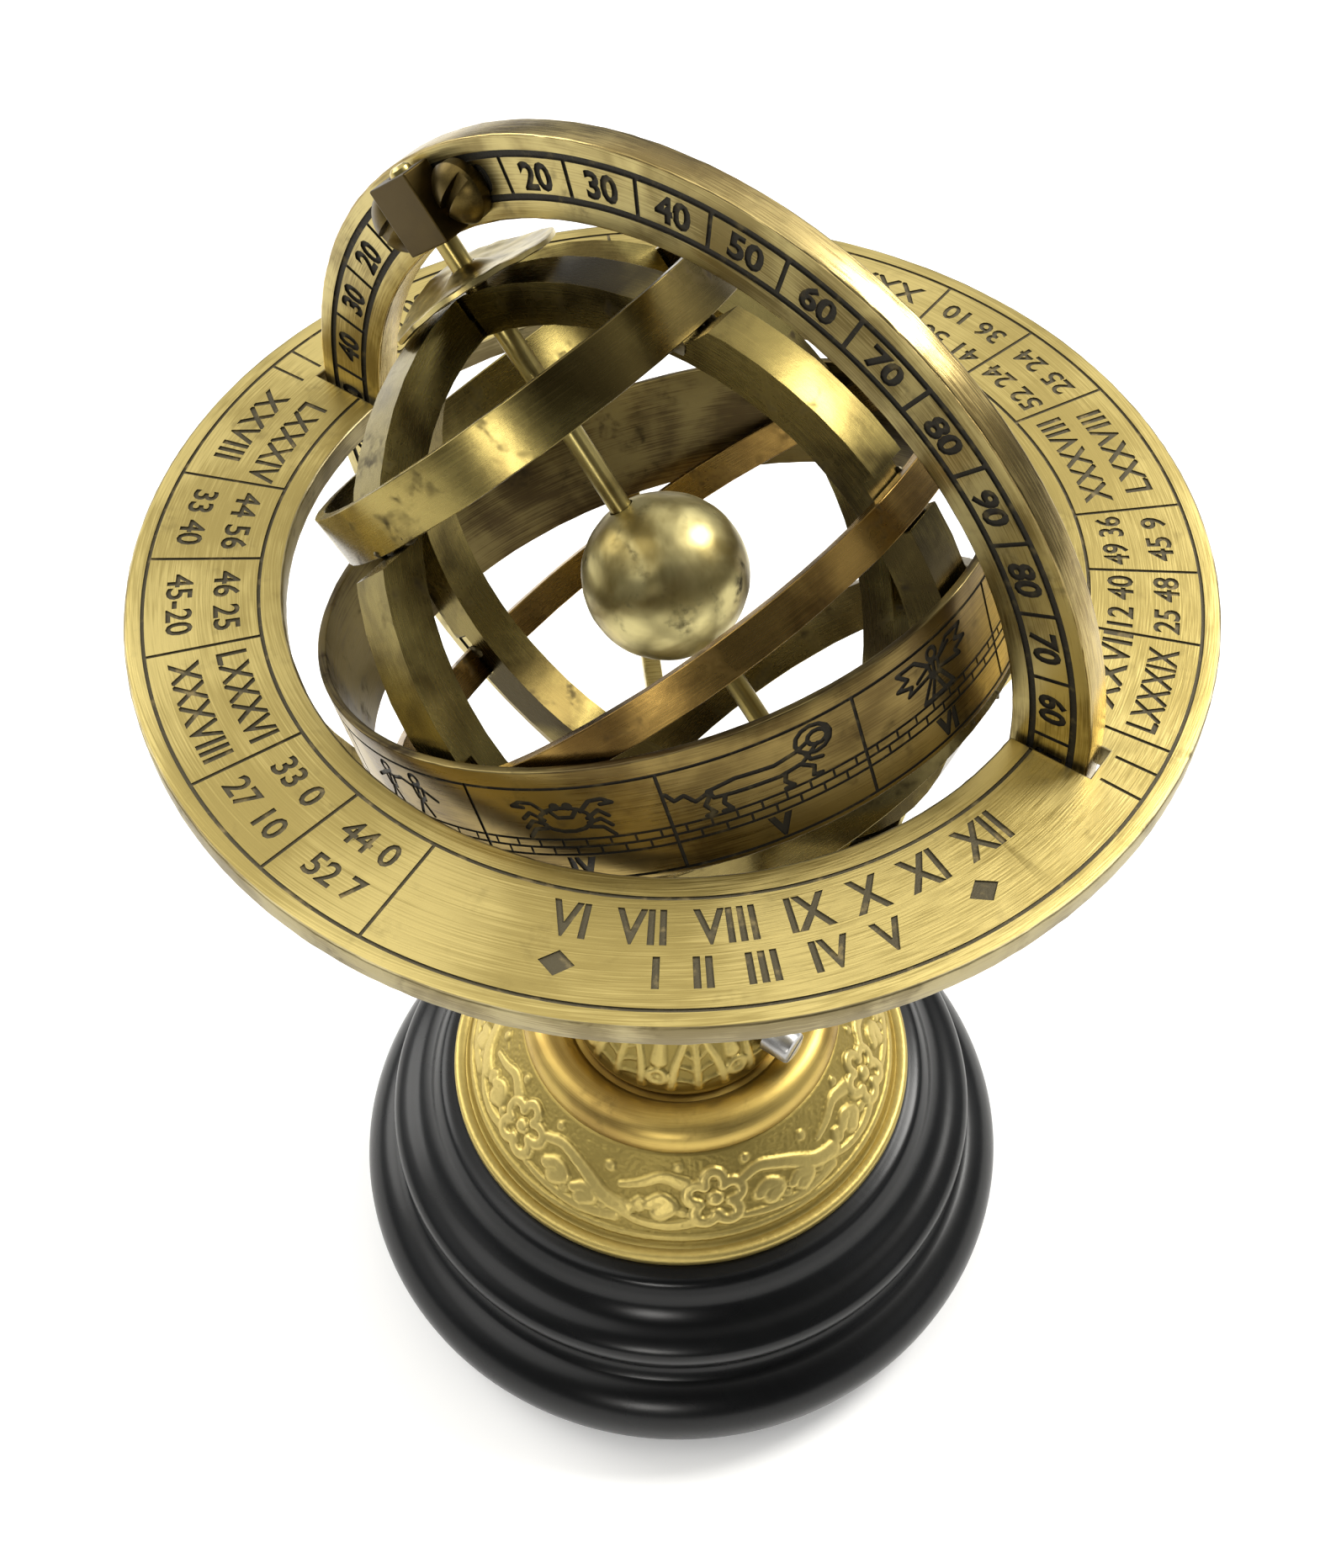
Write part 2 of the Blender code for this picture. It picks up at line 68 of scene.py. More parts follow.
HORIZON_CUT, MERIDIAN_CUT, ZODIAC_CUT = 0.16, 0.2, 0.14  # depths of the engraving


# Frames
def around(radius, angle):
    return radius * cos(angle), radius * sin(angle)


def basis(x_axis, z_axis, origin=(0, 0, 0)):
    x_axis, z_axis = Vector(x_axis), Vector(z_axis)
    made = Matrix((x_axis, z_axis.cross(x_axis), z_axis)).transposed().to_4x4()
    made.translation = Vector(origin)
    return made


def pole(altitude):
    a = radians(altitude)
    return Vector((-cos(a), 0, sin(a)))


def turn(angle, axis):
    return Matrix.Rotation(radians(angle), 4, axis)


def shift(x, y, z):
    return Matrix.Translation((x, y, z))


FRONT = Vector((0, -1, 0))
CENTRE = Vector((0, AXIS_Y, CENTRE_Z))
ROD_FRAME = basis(FRONT, pole(LATITUDE), CENTRE)
CAGE_FRAME = basis(FRONT, pole(LATITUDE - CAGE_LEAN), CENTRE) @ turn(CAGE_SPIN, "Z")
ZODIAC_FRAME = CAGE_FRAME @ turn(-OBLIQUITY, "X") @ shift(0, 0, ZODIAC_SHIFT)
HORIZON_FRAME = shift(0, 0, HORIZON_TOP)
MERIDIAN_FRAME = basis((1, 0, 0), FRONT, (0, MERIDIAN_FACE_Y, CENTRE_Z))


def pivot_frame(sign):
    outward = pole(LATITUDE) * sign
    made = Matrix((outward.cross(FRONT), outward, FRONT)).transposed().to_4x4()
    made.translation = Vector((0, MERIDIAN_FACE_Y, CENTRE_Z))
    return made


# Materials
class Nodes:
    """A node tree while it is being built."""

    def __init__(self, tree):
        self.tree = tree

    def node(self, kind, inputs=(), **settings):
        made = self.tree.nodes.new(kind)
        for key, value in settings.items():
            setattr(made, key, value)
        for key, value in dict(inputs).items():
            self.put(made.inputs[key], value)
        return made

    def put(self, socket, value):
        if isinstance(value, bpy.types.NodeSocket):
            self.tree.links.new(value, socket)
        else:
            socket.default_value = value

    def math(self, operation, a, b=0, clamp=False):
        return self.node("ShaderNodeMath", {0: a, 1: b}, operation=operation, use_clamp=clamp).outputs[0]

    def vector(self, operation, a, b=(0, 0, 0)):
        made = self.node("ShaderNodeVectorMath", {0: a}, operation=operation)
        self.put(made.inputs["Scale" if operation == "SCALE" else 1], b)
        return made.outputs["Value" if operation in ("DOT_PRODUCT", "LENGTH") else "Vector"]

    def noise(self, place, scale, detail=2, distortion=0):
        inputs = {"Vector": place, "Scale": scale, "Detail": detail, "Distortion": distortion}
        return self.node("ShaderNodeTexNoise", inputs).outputs["Fac"]

    def ramp(self, factor, low, high):
        """0 below low and 1 above high, or the other way where low is above high."""
        inputs = {"Value": factor, "From Min": low, "From Max": high}
        return self.node("ShaderNodeMapRange", inputs, interpolation_type="SMOOTHSTEP").outputs["Result"]

    def mix(self, factor, a, b):
        made = self.node("ShaderNodeMix", data_type="RGBA")
        for socket, value in zip((made.inputs[0], made.inputs[6], made.inputs[7]), (factor, a, b)):
            self.put(socket, value)
        return made.outputs[2]

    def bump(self, height, strength, distance):
        inputs = {"Height": height, "Strength": strength, "Distance": distance}
        return self.node("ShaderNodeBump", inputs).outputs["Normal"]


class Shader(Nodes):
    """A node material while it is being built."""

    def __init__(self, name):
        self.material = bpy.data.materials.new(name)
        self.material.use_nodes = True
        super().__init__(self.material.node_tree)
        self.main = self.tree.nodes["Principled BSDF"]
        self.place = self.node("ShaderNodeTexCoord").outputs["Object"]

    def finish(self, colour, roughness, normal=None, metallic=1, **sockets):
        self.put(self.main.inputs["Base Color"], colour)
        self.put(self.main.inputs["Roughness"], roughness)
        self.put(self.main.inputs["Metallic"], metallic)
        if normal is not None:
            self.put(self.main.inputs["Normal"], normal)
        for key, value in sockets.items():
            self.main.inputs[key.replace("_", " ")].default_value = value
        return self.material


DIRT = (0.03, 0.022, 0.012, 1)


def brass(name, light, dark, space=None, rough=0.34, grain=0.35, dirt=0.5, clouds=70, streak=0.5):
    """Aged brass, brushed round the Z axis of space, with clouds of tarnish and specks of dirt; for the cage rings
    and zodiac band its given tones are also darkened as painted shade.
    """
    s = Shader(name)
    space = space or Matrix.Identity(4)
    local = s.vector("SUBTRACT", s.place, tuple(space.translation * MM))
    axis = tuple(space.to_3x3().col[2])
    radius = s.vector("LENGTH", s.vector("CROSS_PRODUCT", local, axis))
    height = s.vector("DOT_PRODUCT", local, axis)
    fine = [s.math("MULTIPLY", part, 7000) for part in (radius, height)]
    across = s.node("ShaderNodeCombineXYZ", {0: fine[0], 1: fine[1]}).outputs[0]
    stroke = s.noise(s.vector("ADD", across, s.vector("SCALE", local, 260)), 1, 3)
    cloud = s.noise(local, clouds, 4, 0.4)
    speck = s.noise(local, 900, 4)
    patch = s.noise(local, 260, 3, 0.6)
    tone = s.math("ADD", cloud, s.math("MULTIPLY", s.math("SUBTRACT", stroke, 0.5), streak))
    colour = s.mix(s.ramp(tone, 0.36, 0.62), (*dark, 1), (*light, 1))
    stain = s.math("MULTIPLY", s.ramp(patch, 0.52, 0.75), s.ramp(speck, 0.4, 0.66))
    soiled = s.math("MULTIPLY", stain, dirt, clamp=True)
    colour = s.mix(soiled, colour, DIRT)
    worn = s.math("MULTIPLY", s.math("SUBTRACT", stroke, 0.5), 0.6 * streak)
    roughness = s.math("ADD", s.math("ADD", worn, rough), s.math("MULTIPLY", soiled, 0.3), clamp=True)
    relief = s.math("ADD", s.math("MULTIPLY", stroke, grain), s.math("MULTIPLY", speck, 0.5))
    return s.finish(colour, roughness, s.bump(relief, 0.35, 0.00006))


def engraving(name, filling, metal):
    """Dark patina left in the engraved lines, worn back to brass in places."""
    s = Shader(name)
    worn = s.ramp(s.noise(s.place, 700, 4), 0.54, 0.76)
    colour = s.mix(worn, (*filling, 1), (*metal, 1))
    grit = s.bump(s.noise(s.place, 5000, 2), 0.5, 0.00008)
    return s.finish(colour, 0.62, grit, metallic=0.45)


def black_wood():
    s = Shader("black_lacquered_wood")
    grain = s.noise(s.vector("MULTIPLY", s.place, (90, 900, 300)), 1, 4, 0.3)
    colour = s.mix(grain, (0.0022, 0.0025, 0.0028, 1), (0.005, 0.0052, 0.0054, 1))
    dust = s.noise(s.place, 60, 3)
    roughness = s.math("ADD", s.math("MULTIPLY", dust, 0.14), 0.2)
    normal = s.bump(grain, 0.1, 0.0001)
    return s.finish(colour, roughness, normal, metallic=0, Specular_IOR_Level=0.24, Coat_Weight=0.05,
        Coat_Roughness=0.2)


def felt():
    s = Shader("green_felt")
    fibre = s.noise(s.place, 2600, 4, 1.2)
    colour = s.mix(fibre, (0.012, 0.04, 0.02, 1), (0.035, 0.09, 0.05, 1))
    return s.finish(colour, 0.95, s.bump(fibre, 0.8, 0.0003), metallic=0, Sheen_Weight=0.4)


def solder():
    s = Shader("grey_solder")
    patch = s.noise(s.place, 420, 4, 0.5)
    colour = s.mix(s.ramp(patch, 0.38, 0.66), (0.075, 0.058, 0.026, 1), (0.2, 0.175, 0.115, 1))
    return s.finish(colour, 0.5, s.bump(s.noise(s.place, 1500, 3), 0.6, 0.0002))


def cast_brass(name):
    """Cast and rubbed brass: bright on what stands proud and darker in the hollows, partly rubbing wear and partly
    painted highlight and painted shade.
    """
    s = Shader(name)
    rise = s.node("ShaderNodeAttribute", attribute_name="relief").outputs["Fac"]
    cloud = s.noise(s.place, 110, 4, 0.3)
    speck = s.noise(s.place, 1300, 4)
    level = s.math("ADD", rise, s.math("MULTIPLY", s.math("SUBTRACT", speck, 0.5), 0.35))
    low = s.mix(cloud, (0.27, 0.2, 0.055, 1), (0.4, 0.31, 0.092, 1))
    # Painted shade and highlight: the relief's height darkens the hollows and brightens what stands proud.
    colour = s.mix(s.ramp(level, 0, 0.95), low, (0.58, 0.455, 0.155, 1))
    roughness = s.math("SUBTRACT", 0.52, s.math("MULTIPLY", rise, 0.12), clamp=True)
    return s.finish(colour, roughness, s.bump(speck, 0.45, 0.00012))


PATINA = engraving("dark_filling", (0.026, 0.022, 0.014), (0.11, 0.085, 0.035))
WORN_PATINA = engraving("worn_filling", (0.085, 0.07, 0.036), (0.26, 0.2, 0.085))
WOOD = black_wood()
FELT = felt()
SOLDER = solder()
CAST_PAINTED_SHADING = cast_brass("cast_brass")
STEEL = brass("turned_steel", (0.52, 0.52, 0.51), (0.36, 0.35, 0.34), None, 0.36, 0.1, 0.2, streak=0.2)
PLAIN = brass("plain_brass", (0.5, 0.4, 0.15), (0.28, 0.215, 0.075), rough=0.32)
PIVOT = brass("brown_brass", (0.105, 0.074, 0.022), (0.042, 0.029, 0.01), None, 0.36, 0.2, 0.8, streak=0.2)
BLOCK = brass("block_brass", (0.062, 0.042, 0.012), (0.03, 0.02, 0.007), None, 0.42, 0.1, 0.3, streak=0.1)


# Meshes
def make_object(name, points, faces, materials, body, replaces=(), space=None, sharp=32,
        material_index=None, relief=None):
    """A piece from points in millimetres, riding on a body and standing for CAD nodes."""
    points = np.asarray(points, float)
    if space is not None:
        grid = np.array(space)
        points = points @ grid[:3, :3].T + grid[:3, 3]
    mesh = bpy.data.meshes.new(name)
    mesh.from_pydata((points * MM).tolist(), [], faces)
    for material in materials:
        mesh.materials.append(material)
    if material_index is not None:
        mesh.polygons.foreach_set("material_index", np.asarray(material_index, np.int32))
    if relief is not None:
        mesh.attributes.new("relief", "FLOAT", "POINT").data.foreach_set("value", relief)
    data = bmesh.new()
    data.from_mesh(mesh)
    bmesh.ops.remove_doubles(data, verts=data.verts, dist=1e-7)
    bmesh.ops.recalc_face_normals(data, faces=data.faces)
    settle(data, mesh, sharp)
    return adopt(linked(name, mesh), body, replaces)


def settle(data, mesh, sharp):
    """Writes edited geometry back, smooth except at edges sharper than that angle."""
    data.to_mesh(mesh)
    data.free()
    if mesh.attributes.get("custom_normal"):
        mesh.attributes.remove(mesh.attributes["custom_normal"])
    mesh.shade_smooth()
    mesh.set_sharp_from_angle(angle=radians(sharp))


def break_edges(data, angle, width):
    """Rounds every edge sharper than that angle."""
    edges = [e for e in data.edges if len(e.link_faces) == 2 and e.calc_face_angle(0) > radians(angle)]
    bmesh.ops.bevel(data, geom=edges, offset=width * MM, segments=2, profile=0.5, affect="EDGES", clamp_overlap=True)


def linked(name, data):
    item = bpy.data.objects.new(name, data)
    bpy.context.scene.collection.objects.link(item)
    return item


def adopt(item, body, replaces):
    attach(item, body)
    if replaces:
        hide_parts(*replaces)
    return item


def join_rows(rows, closed=True):
    """Faces that join each closed row of vertex numbers to the next."""
    faces = []
    for low, high in zip(rows, rows[1:] + (rows[:1] if closed else [])):
        for i in range(len(low)):
            j = (i + 1) % len(low)
            corners = list(dict.fromkeys((low[i], low[j], high[j], high[i])))
            if len(corners) > 2:
                faces.append(corners)
    return faces


def grid_rows(count, steps):
    return [list(range(i * steps, (i + 1) * steps)) for i in range(count)]


def turned_grid(profile, steps):
    """Points and faces of a closed solid of revolution about Z; radius 0 closes on the axis."""
    points, rows = [], []
    for radius, height in profile:
        count = 1 if radius == 0 else steps
        rows.append([len(points) + (i if count > 1 else 0) for i in range(steps)])
        points += [(*around(radius, tau * i / steps), height) for i in range(count)]
    return points, join_rows(rows, profile[0][0] != 0)


def arc(centre, radius, start, end, steps):
    angles = [radians(start + (end - start) * i / steps) for i in range(steps + 1)]
    return [(centre[0] + radius * cos(a), centre[1] + radius * sin(a)) for a in angles]


def turned(name, profile, material, body, replaces=(), space=None, steps=96, wobble=0, sharp=32):
    points, faces = turned_grid(profile, steps)
    points = np.array(points)
    if wobble:
        points += [wobble * noise.noise_vector(Vector(p) * 0.35) for p in points]
    return make_object(name, points, faces, [material], body, replaces, space, sharp)


def refined(node, material, body, edge, wear):
    """A CAD node with its edges broken and its faces slightly uneven, as filed by hand."""
    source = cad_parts[node].data
    mesh = bpy.data.meshes.new(node + "_worn")
    data = bmesh.new()
    data.from_mesh(source)
    bmesh.ops.remove_doubles(data, verts=data.verts, dist=2e-6)
    bmesh.ops.dissolve_limit(data, angle_limit=radians(1), verts=data.verts, edges=data.edges)
    for face in data.faces:
        face.material_index = 0
    break_edges(data, 25, edge)
    bmesh.ops.remove_doubles(data, verts=data.verts, dist=2e-6)
    bmesh.ops.triangulate(data, faces=[f for f in data.faces if len(f.verts) > 4])
    for vert in data.verts:
        vert.co += noise.noise_vector(vert.co * 450) * wear * MM
    settle(data, mesh, 50)
    mesh.materials.clear()
    mesh.materials.append(material)
    item = linked(node + "_worn", mesh)
    flats = item.modifiers.new("flats", "WEIGHTED_NORMAL")
    flats.keep_sharp, flats.weight = True, 90
    return adopt(item, body, (node,))


# Engraved plates
def circle(radius, steps=256):
    return [around(radius, tau * i / steps) for i in range(steps)]


def glyph_loops(text, weight, known={}):
    """Outlines of a text whose capitals are one unit high, starting at the origin."""
    if (text, weight) not in known:
        curve = bpy.data.curves.new("glyphs", "FONT")
        curve.body, curve.offset, curve.resolution_u = text, weight, 3
        item = linked("glyphs", curve)
        mesh = item.evaluated_get(bpy.context.evaluated_depsgraph_get()).to_mesh()
        used = {}
        for face in mesh.polygons:
            for key in face.edge_keys:
                used[key] = used.get(key, 0) + 1
        near = {}
        for (a, b), count in used.items():
            if count == 1:
                near.setdefault(a, []).append(b)
                near.setdefault(b, []).append(a)
        loops, seen = [], set()
        for first in sorted(near):
            loop, here = [], first
            while here is not None and here not in seen:
                seen.add(here)
                loop.append(tuple(mesh.vertices[here].co.xy / 0.7))
                here = next((n for n in near[here] if n not in seen), None)
            if len(loop) > 2:
                loops.append(loop)
        bpy.data.objects.remove(item)
        known[(text, weight)] = loops
    return known[(text, weight)]


def lettering(text, height, width, weight):
    """Loops of a text centred on the origin, with capitals of that height."""
    loops = glyph_loops(text, weight)
    xs = [x for loop in loops for x, _ in loop]
    middle, reach = (min(xs) + max(xs)) / 2, max(xs) - min(xs)
    stretch = min(1, width / (reach * height)) if width else 1
    return [[((x - middle) * height * stretch, (y - 0.5) * height) for x, y in loop] for loop in loops]


def stroke(line, width, closed=False):
    """A drawn line as overlapping loops: a bar for each step and a dot for each corner."""
    groups = []
    points = [Vector(p) for p in line]
    pairs = list(zip(points, points[1:] + points[:1] if closed else points[1:]))
    for a, b in pairs:
        if (b - a).length < 1e-4:
            continue
        side = (b - a).normalized().orthogonal() * width / 2
        groups.append([[tuple(a - side), tuple(b - side), tuple(b + side), tuple(a + side)]])
    if len(points) > 2 or closed:
        for p in points:
            dot = [around(width / 2, tau * i / 8 + 0.2) for i in range(8)]
            groups.append([[(p.x + x, p.y + y) for x, y in dot]])
    return groups


def holds(loop, spots):
    """Which of the spots lie inside a loop, by counting crossings of a level line."""
    loop = np.asarray(loop)
    found = np.zeros(len(spots), bool)
    near = np.nonzero(((spots >= loop.min(0)) & (spots <= loop.max(0))).all(1))[0]
    if len(near):
        x, y = spots[near, 0][:, None], spots[near, 1][:, None]
        ax, ay = loop[:, 0], loop[:, 1]
        bx, by = np.roll(ax, -1), np.roll(ay, -1)
        rise = np.where(by == ay, 1, by - ay)
        crossed = ((ay > y) != (by > y)) & (x < (bx - ax) * (y - ay) / rise + ax)
        found[near] = crossed.sum(1) % 2 == 1
    return found


def triangulate(outlines, groups, guides=()):
    """Triangles of the region between outlines: those left alone, and those inside engraved groups."""
    points, edges = [], []
    for loop in [*outlines, *(loop for group in groups for loop in group)]:
        first = len(points)
        points += [Vector(p) for p in loop]
        edges += [(first + i, first + (i + 1) % len(loop)) for i in range(len(loop))]
    for a, b in guides:
        edges.append((len(points), len(points) + 1))
        points += [Vector(a), Vector(b)]
    flat, _, triangles, _, _, _ = delaunay_2d_cdt(points, edges, [], 0, 1e-5)
    middles = np.array([sum((flat[i] for i in tri), Vector((0, 0))) / 3 for tri in triangles])
    kept, cut = np.zeros(len(middles), bool), np.zeros(len(middles), bool)
    for loop in outlines:
        kept ^= holds(loop, middles)
    for group in groups:
        within = np.zeros(len(middles), bool)
        for loop in group:
            within ^= holds(loop, middles)
        cut |= within
    plain, sunk = [], []
    for number, corners in enumerate(triangles):
        a, b, c = (flat[i] for i in corners)
        area = (b - a).cross(c - a)
        if kept[number] and abs(area) > 1e-10:
            corners = tuple(corners) if area > 0 else tuple(reversed(corners))
            (sunk if cut[number] else plain).append(corners)
    return flat, plain, sunk


def plate(outlines, groups, depth, thick, edge, to_space, guides=(), seam=None):
    """A closed slab with rounded edges, whose top is engraved: points, faces and material numbers.

    Outlines lie on the flat of the top, edge inside the slab's true outline.
    """
    flat, plain, sunk = triangulate(outlines, groups, guides)
    points, faces, kinds, known = [], [], [], {}

    def vert(key, x, y, height):
        if key not in known:
            known[key] = len(points)
            points.append(to_space(x, y, height))
        return known[key]

    def at(level, i):
        return vert((level, i), flat[i].x, flat[i].y, 0 if level == "top" else -depth)

    side = {}
    for level, triangles in (("top", plain), ("pit", sunk)):
        for tri in triangles:
            faces.append([at(level, i) for i in tri])
            kinds.append(0 if level == "top" else 1)
            for i, j in zip(tri, tri[1:] + tri[:1]):
                side[(i, j)] = level
    border = []
    for (i, j), level in side.items():
        other = side.get((j, i))
        if level == "top" and other == "pit":
            faces.append([at("top", j), at("top", i), at("pit", i), at("pit", j)])
            kinds.append(1)
        on_seam = seam is not None and all(min(abs(flat[k].x - s) for s in seam) < 1e-3 for k in (i, j))
        if other is None and not on_seam:
            border.append((i, j, level))
    normals = {}
    for i, j, _ in border:
        run = flat[j] - flat[i]
        out = Vector((run.y, -run.x)).normalized()
        for k in (i, j):
            normals[k] = normals.get(k, Vector((0, 0))) + out
    rim = [(0, 0), (0.5, 0.13), (0.87, 0.5), (1, 1)]
    levels = [(edge * o, -edge * h) for o, h in rim] + [(edge * o, edge * h - thick) for o, h in reversed(rim)]

    def rim_vert(level, i):
        if level == 0:
            return at("top", i)
        out = normals[i].normalized()
        offset, height = levels[level]
        rough = 0.05 * noise.noise(Vector((flat[i].x, flat[i].y, height * 3)) * 0.9) if 0 < level < 7 else 0
        x, y = flat[i] + out * (offset + rough)
        return vert((level, i), x, y, height)

    for i, j, _ in border:
        for level in range(len(levels) - 1):
            faces.append([rim_vert(level, i), rim_vert(level, j), rim_vert(level + 1, j), rim_vert(level + 1, i)])
            kinds.append(2)
    last = len(levels) - 1
    lower = {(round(flat[i].x, 3), round(flat[i].y, 3)): rim_vert(last, i) for i in normals}
    under, back, _ = triangulate(outlines, (), guides)
    for tri in back:
        corners = []
        for i in reversed(tri):
            key = (round(under[i].x, 3), round(under[i].y, 3))
            corners.append(lower[key] if key in lower else vert(("under", key), under[i].x, under[i].y, -thick))
        faces.append(corners)
        kinds.append(2)
    return points, faces, kinds


def ring_place(radius, angle, sense, loops):
    """Sets upright loops on a circle: sense 1 reads anticlockwise with its top inwards, -1 the reverse."""
    start = radians(angle)
    return [[around(radius - sense * y, start + sense * x / radius) for x, y in loop] for loop in loops]


def box(left, low, right, high):
    return [(left, low), (right, low), (right, high), (left, high)]


def spoke(angle, low, high, width):
    """A radial bar as one loop."""
    out = Vector(around(1, radians(angle)))
    side = Vector((-out.y, out.x)) * width / 2
    return [tuple(out * low - side), tuple(out * high - side), tuple(out * high + side), tuple(out * low + side)]


# Horizon ring
NUMERALS = ("I", "II", "III", "IV", "V", "VI", "VII", "VIII", "IX", "X", "XI", "XII")

# Each run of cells has its start angle, then the end angle and the outer and inner text of each cell
HORIZON_RUNS = (
    (182.7, ((202.5, "XXVIII", "LXXXIV"), (216.2, "33 40", "44 56"), (230.6, "45-20", "46 25"),
        (248.9, "XXXVIII", "LXXXVI"), (261.8, "27 10", "33 0"), (274.7, "52 7", "44 0"))),
    (6.8, ((22.2, "LXXXIX", "XXVII"), (32.9, "25 48", "12 40"), (43.5, "45 9", "49 36"),
        (64, "LXXVIII", "XXXVIII"), (76.5, "25 24", "52 24"), (89, "36 10", "41 50"),
        (108.5, "XXXVII", "LXVIII"), (121.5, "48 12", "30 25"), (134.5, "22 5", "38 40"),
        (153.5, "LXXXVI", "XLVIII"), (166.5, "51 30", "27 15"), (179.4, "19 40", "35 8"))))


def make_horizon():
    edge = 0.22
    outer, inner = HORIZON_OUTER - edge, HORIZON_INNER + edge
    slot_low = MERIDIAN_FACE_Y - 0.35 - edge
    slot_high = MERIDIAN_FACE_Y + MERIDIAN_THICK + 0.35 + edge
    slot_end = MERIDIAN_OUTER + 0.5 + edge
    inside = []
    low, high = asin(slot_low / inner), asin(slot_high / inner)
    for first, last, sign in ((high, pi - high, -1), (pi - low, tau + low, 1)):
        inside += [around(inner, a) for a in np.linspace(first, last, 128)]
        ends = (slot_high, slot_low) if sign < 0 else (slot_low, slot_high)
        inside += [(sign * slot_end, y) for y in ends]
    groups = []
    for radius in (48.35, 38.05):
        groups.append([circle(radius + 0.17), circle(radius - 0.17)])
    cells = []
    for start, run in HORIZON_RUNS:
        for end, far, close in run:
            cells.append((start, end, far, close))
            start = end
    bounds = sorted({c[0] for c in cells} | {c[1] for c in cells} | {359.6, 3.3})
    for angle in bounds:
        near_slot = min(abs(angle - 180), abs((angle + 180) % 360 - 180)) < 6
        groups.append([spoke(angle, 44.4 if near_slot else 38.2, 48.2, 0.32)])
    for start, end, far, close in cells:
        middle, span = (start + end) / 2, radians(end - start)
        near_slot = start == 6.8 or end > 202 and start < 183
        for text, radius in ((far, 45.1), (close, 40.9)):
            worn = 1 if text.replace(" ", "").replace("-", "").isdigit() else 1.15
            fit = radius * span * 0.82
            aside = 1.3 if near_slot and radius < 42 else 0
            groups.append(ring_place(radius, middle + aside, 1, lettering(text, 2.25 * worn, fit, 0.022)))
    for radius, angle, text, height, width in ((40.75, 319.3, "VI  VII  VIII  IX  X  XI  XII", 3.2, 39.5),
            (44.95, 316.6, "I  II  III  IV  V", 2.8, 27)):
        groups.append(ring_place(radius, angle, 1, lettering(text, height, width, 0.026)))
    for angle in (293.8, 339.4):
        groups.append(ring_place(44.95, angle, 1, [[(-1.5, 0), (0, -1.2), (1.5, 0), (0, 1.2)]]))
    points, faces, kinds = plate([circle(outer, 320), inside], groups, HORIZON_CUT, HORIZON_THICK, edge,
        lambda x, y, h: (x, y, h))
    top = brass("brushed_horizon", (0.6, 0.485, 0.185), (0.38, 0.295, 0.098), HORIZON_FRAME, 0.41, 0.9, 0.25, 45)
    rim = brass("sawn_edge", (0.4, 0.34, 0.18), (0.2, 0.16, 0.075), HORIZON_FRAME, 0.46, 0.8, 0.6, 120)
    make_object("engraved_horizon", points, faces, [top, WORN_PATINA, rim], "head", ["horizon_ring"],
        HORIZON_FRAME, material_index=kinds)


# Meridian ring
def make_meridian():
    edge = 0.2
    groups = [[circle(41.75), circle(41.1)], [circle(37.95), circle(37.3)]]
    north = 180 - LATITUDE
    for step in range(36):
        groups.append([spoke(north - 5 - 10 * step, 37.8, 41.3, 0.42)])
        label = 90 - abs(90 - 10 * min(step, 36 - step))
        groups.append(ring_place(39.5, north - 10 * step, -1, lettering(str(label), 2.3, 4.6, 0.045)))
    outlines = [circle(MERIDIAN_OUTER - edge, 300), circle(MERIDIAN_INNER + edge, 256)]
    points, faces, kinds = plate(outlines, groups, MERIDIAN_CUT, MERIDIAN_THICK, edge, lambda x, y, h: (x, y, h))
    face = brass("meridian_face", (0.46, 0.38, 0.16), (0.22, 0.17, 0.065), MERIDIAN_FRAME, 0.36, 0.6, 0.5, 120)
    rim = brass("meridian_rim", (0.5, 0.39, 0.16), (0.22, 0.16, 0.06), MERIDIAN_FRAME, 0.27, 0.9, 0.25, 60)
    make_object("engraved_meridian", points, faces, [face, PATINA, rim], "meridian",
        ["meridian_ring"], MERIDIAN_FRAME, material_index=kinds)


# Zodiac band
def oval(x, y, a, b, steps=14, tilt=0):
    made = []
    for i in range(steps):
        p, q = a * cos(tau * i / steps), b * sin(tau * i / steps)
        made.append((x + p * cos(tilt) - q * sin(tilt), y + p * sin(tilt) + q * cos(tilt)))
    return made


def beast(neck=2, head=1, tail=((-4.4, 1.6), (-5.2, 2.6), (-4.6, 3.3)), horns=()):
    """A walking four-legged animal: back, belly, legs, head and tail."""
    lines = [[(-3.6, 1.4), (-3.9, 2.1), (-2, 2.5), (0.6, 2.3), (2.2, 2.4 + 0.2 * neck), (3.1, 2.1 + 0.8 * neck)],
        [(-3.6, 1.4), (-2.2, 1.3), (0.8, 1.2), (2.4, 1.5), (3.7, 2.6)],
        [(-3.7, 1.9), (-4.3, 0.9), (-3.8, 0.1), (-4.4, 0)], [(-2.9, 1.3), (-3.1, 0.7), (-2.7, 0), (-3.3, 0)],
        [(1.2, 1.3), (1, 0.6), (1.5, 0), (0.9, 0)], [(2.2, 1.5), (3.1, 0.8), (2.9, 0.1), (3.5, 0)],
        [(-3.8, 2), *tail]]
    return lines + list(horns), [oval(3.6, 2 + 0.75 * neck, 0.85 * head, 0.65 * head)]


def person(x, arms):
    lines = [[(x, 3), (x - 0.1, 1.7)], [(x - 0.1, 1.7), (x - 0.7, 0)], [(x - 0.1, 1.7), (x + 0.6, 0)],
        [(x - 0.5, 2.9), (x - 0.35, 1.7), (x + 0.35, 1.7), (x + 0.5, 2.9), (x - 0.5, 2.9)]]
    lines += [[(x + s * 0.5, 2.8), (x + s * 1.1, 2.8 + lift * 0.5), (x + s * 1.7, 2.8 + lift)] for s, lift in arms]
    return lines, [oval(x, 3.6, 0.42, 0.5)]


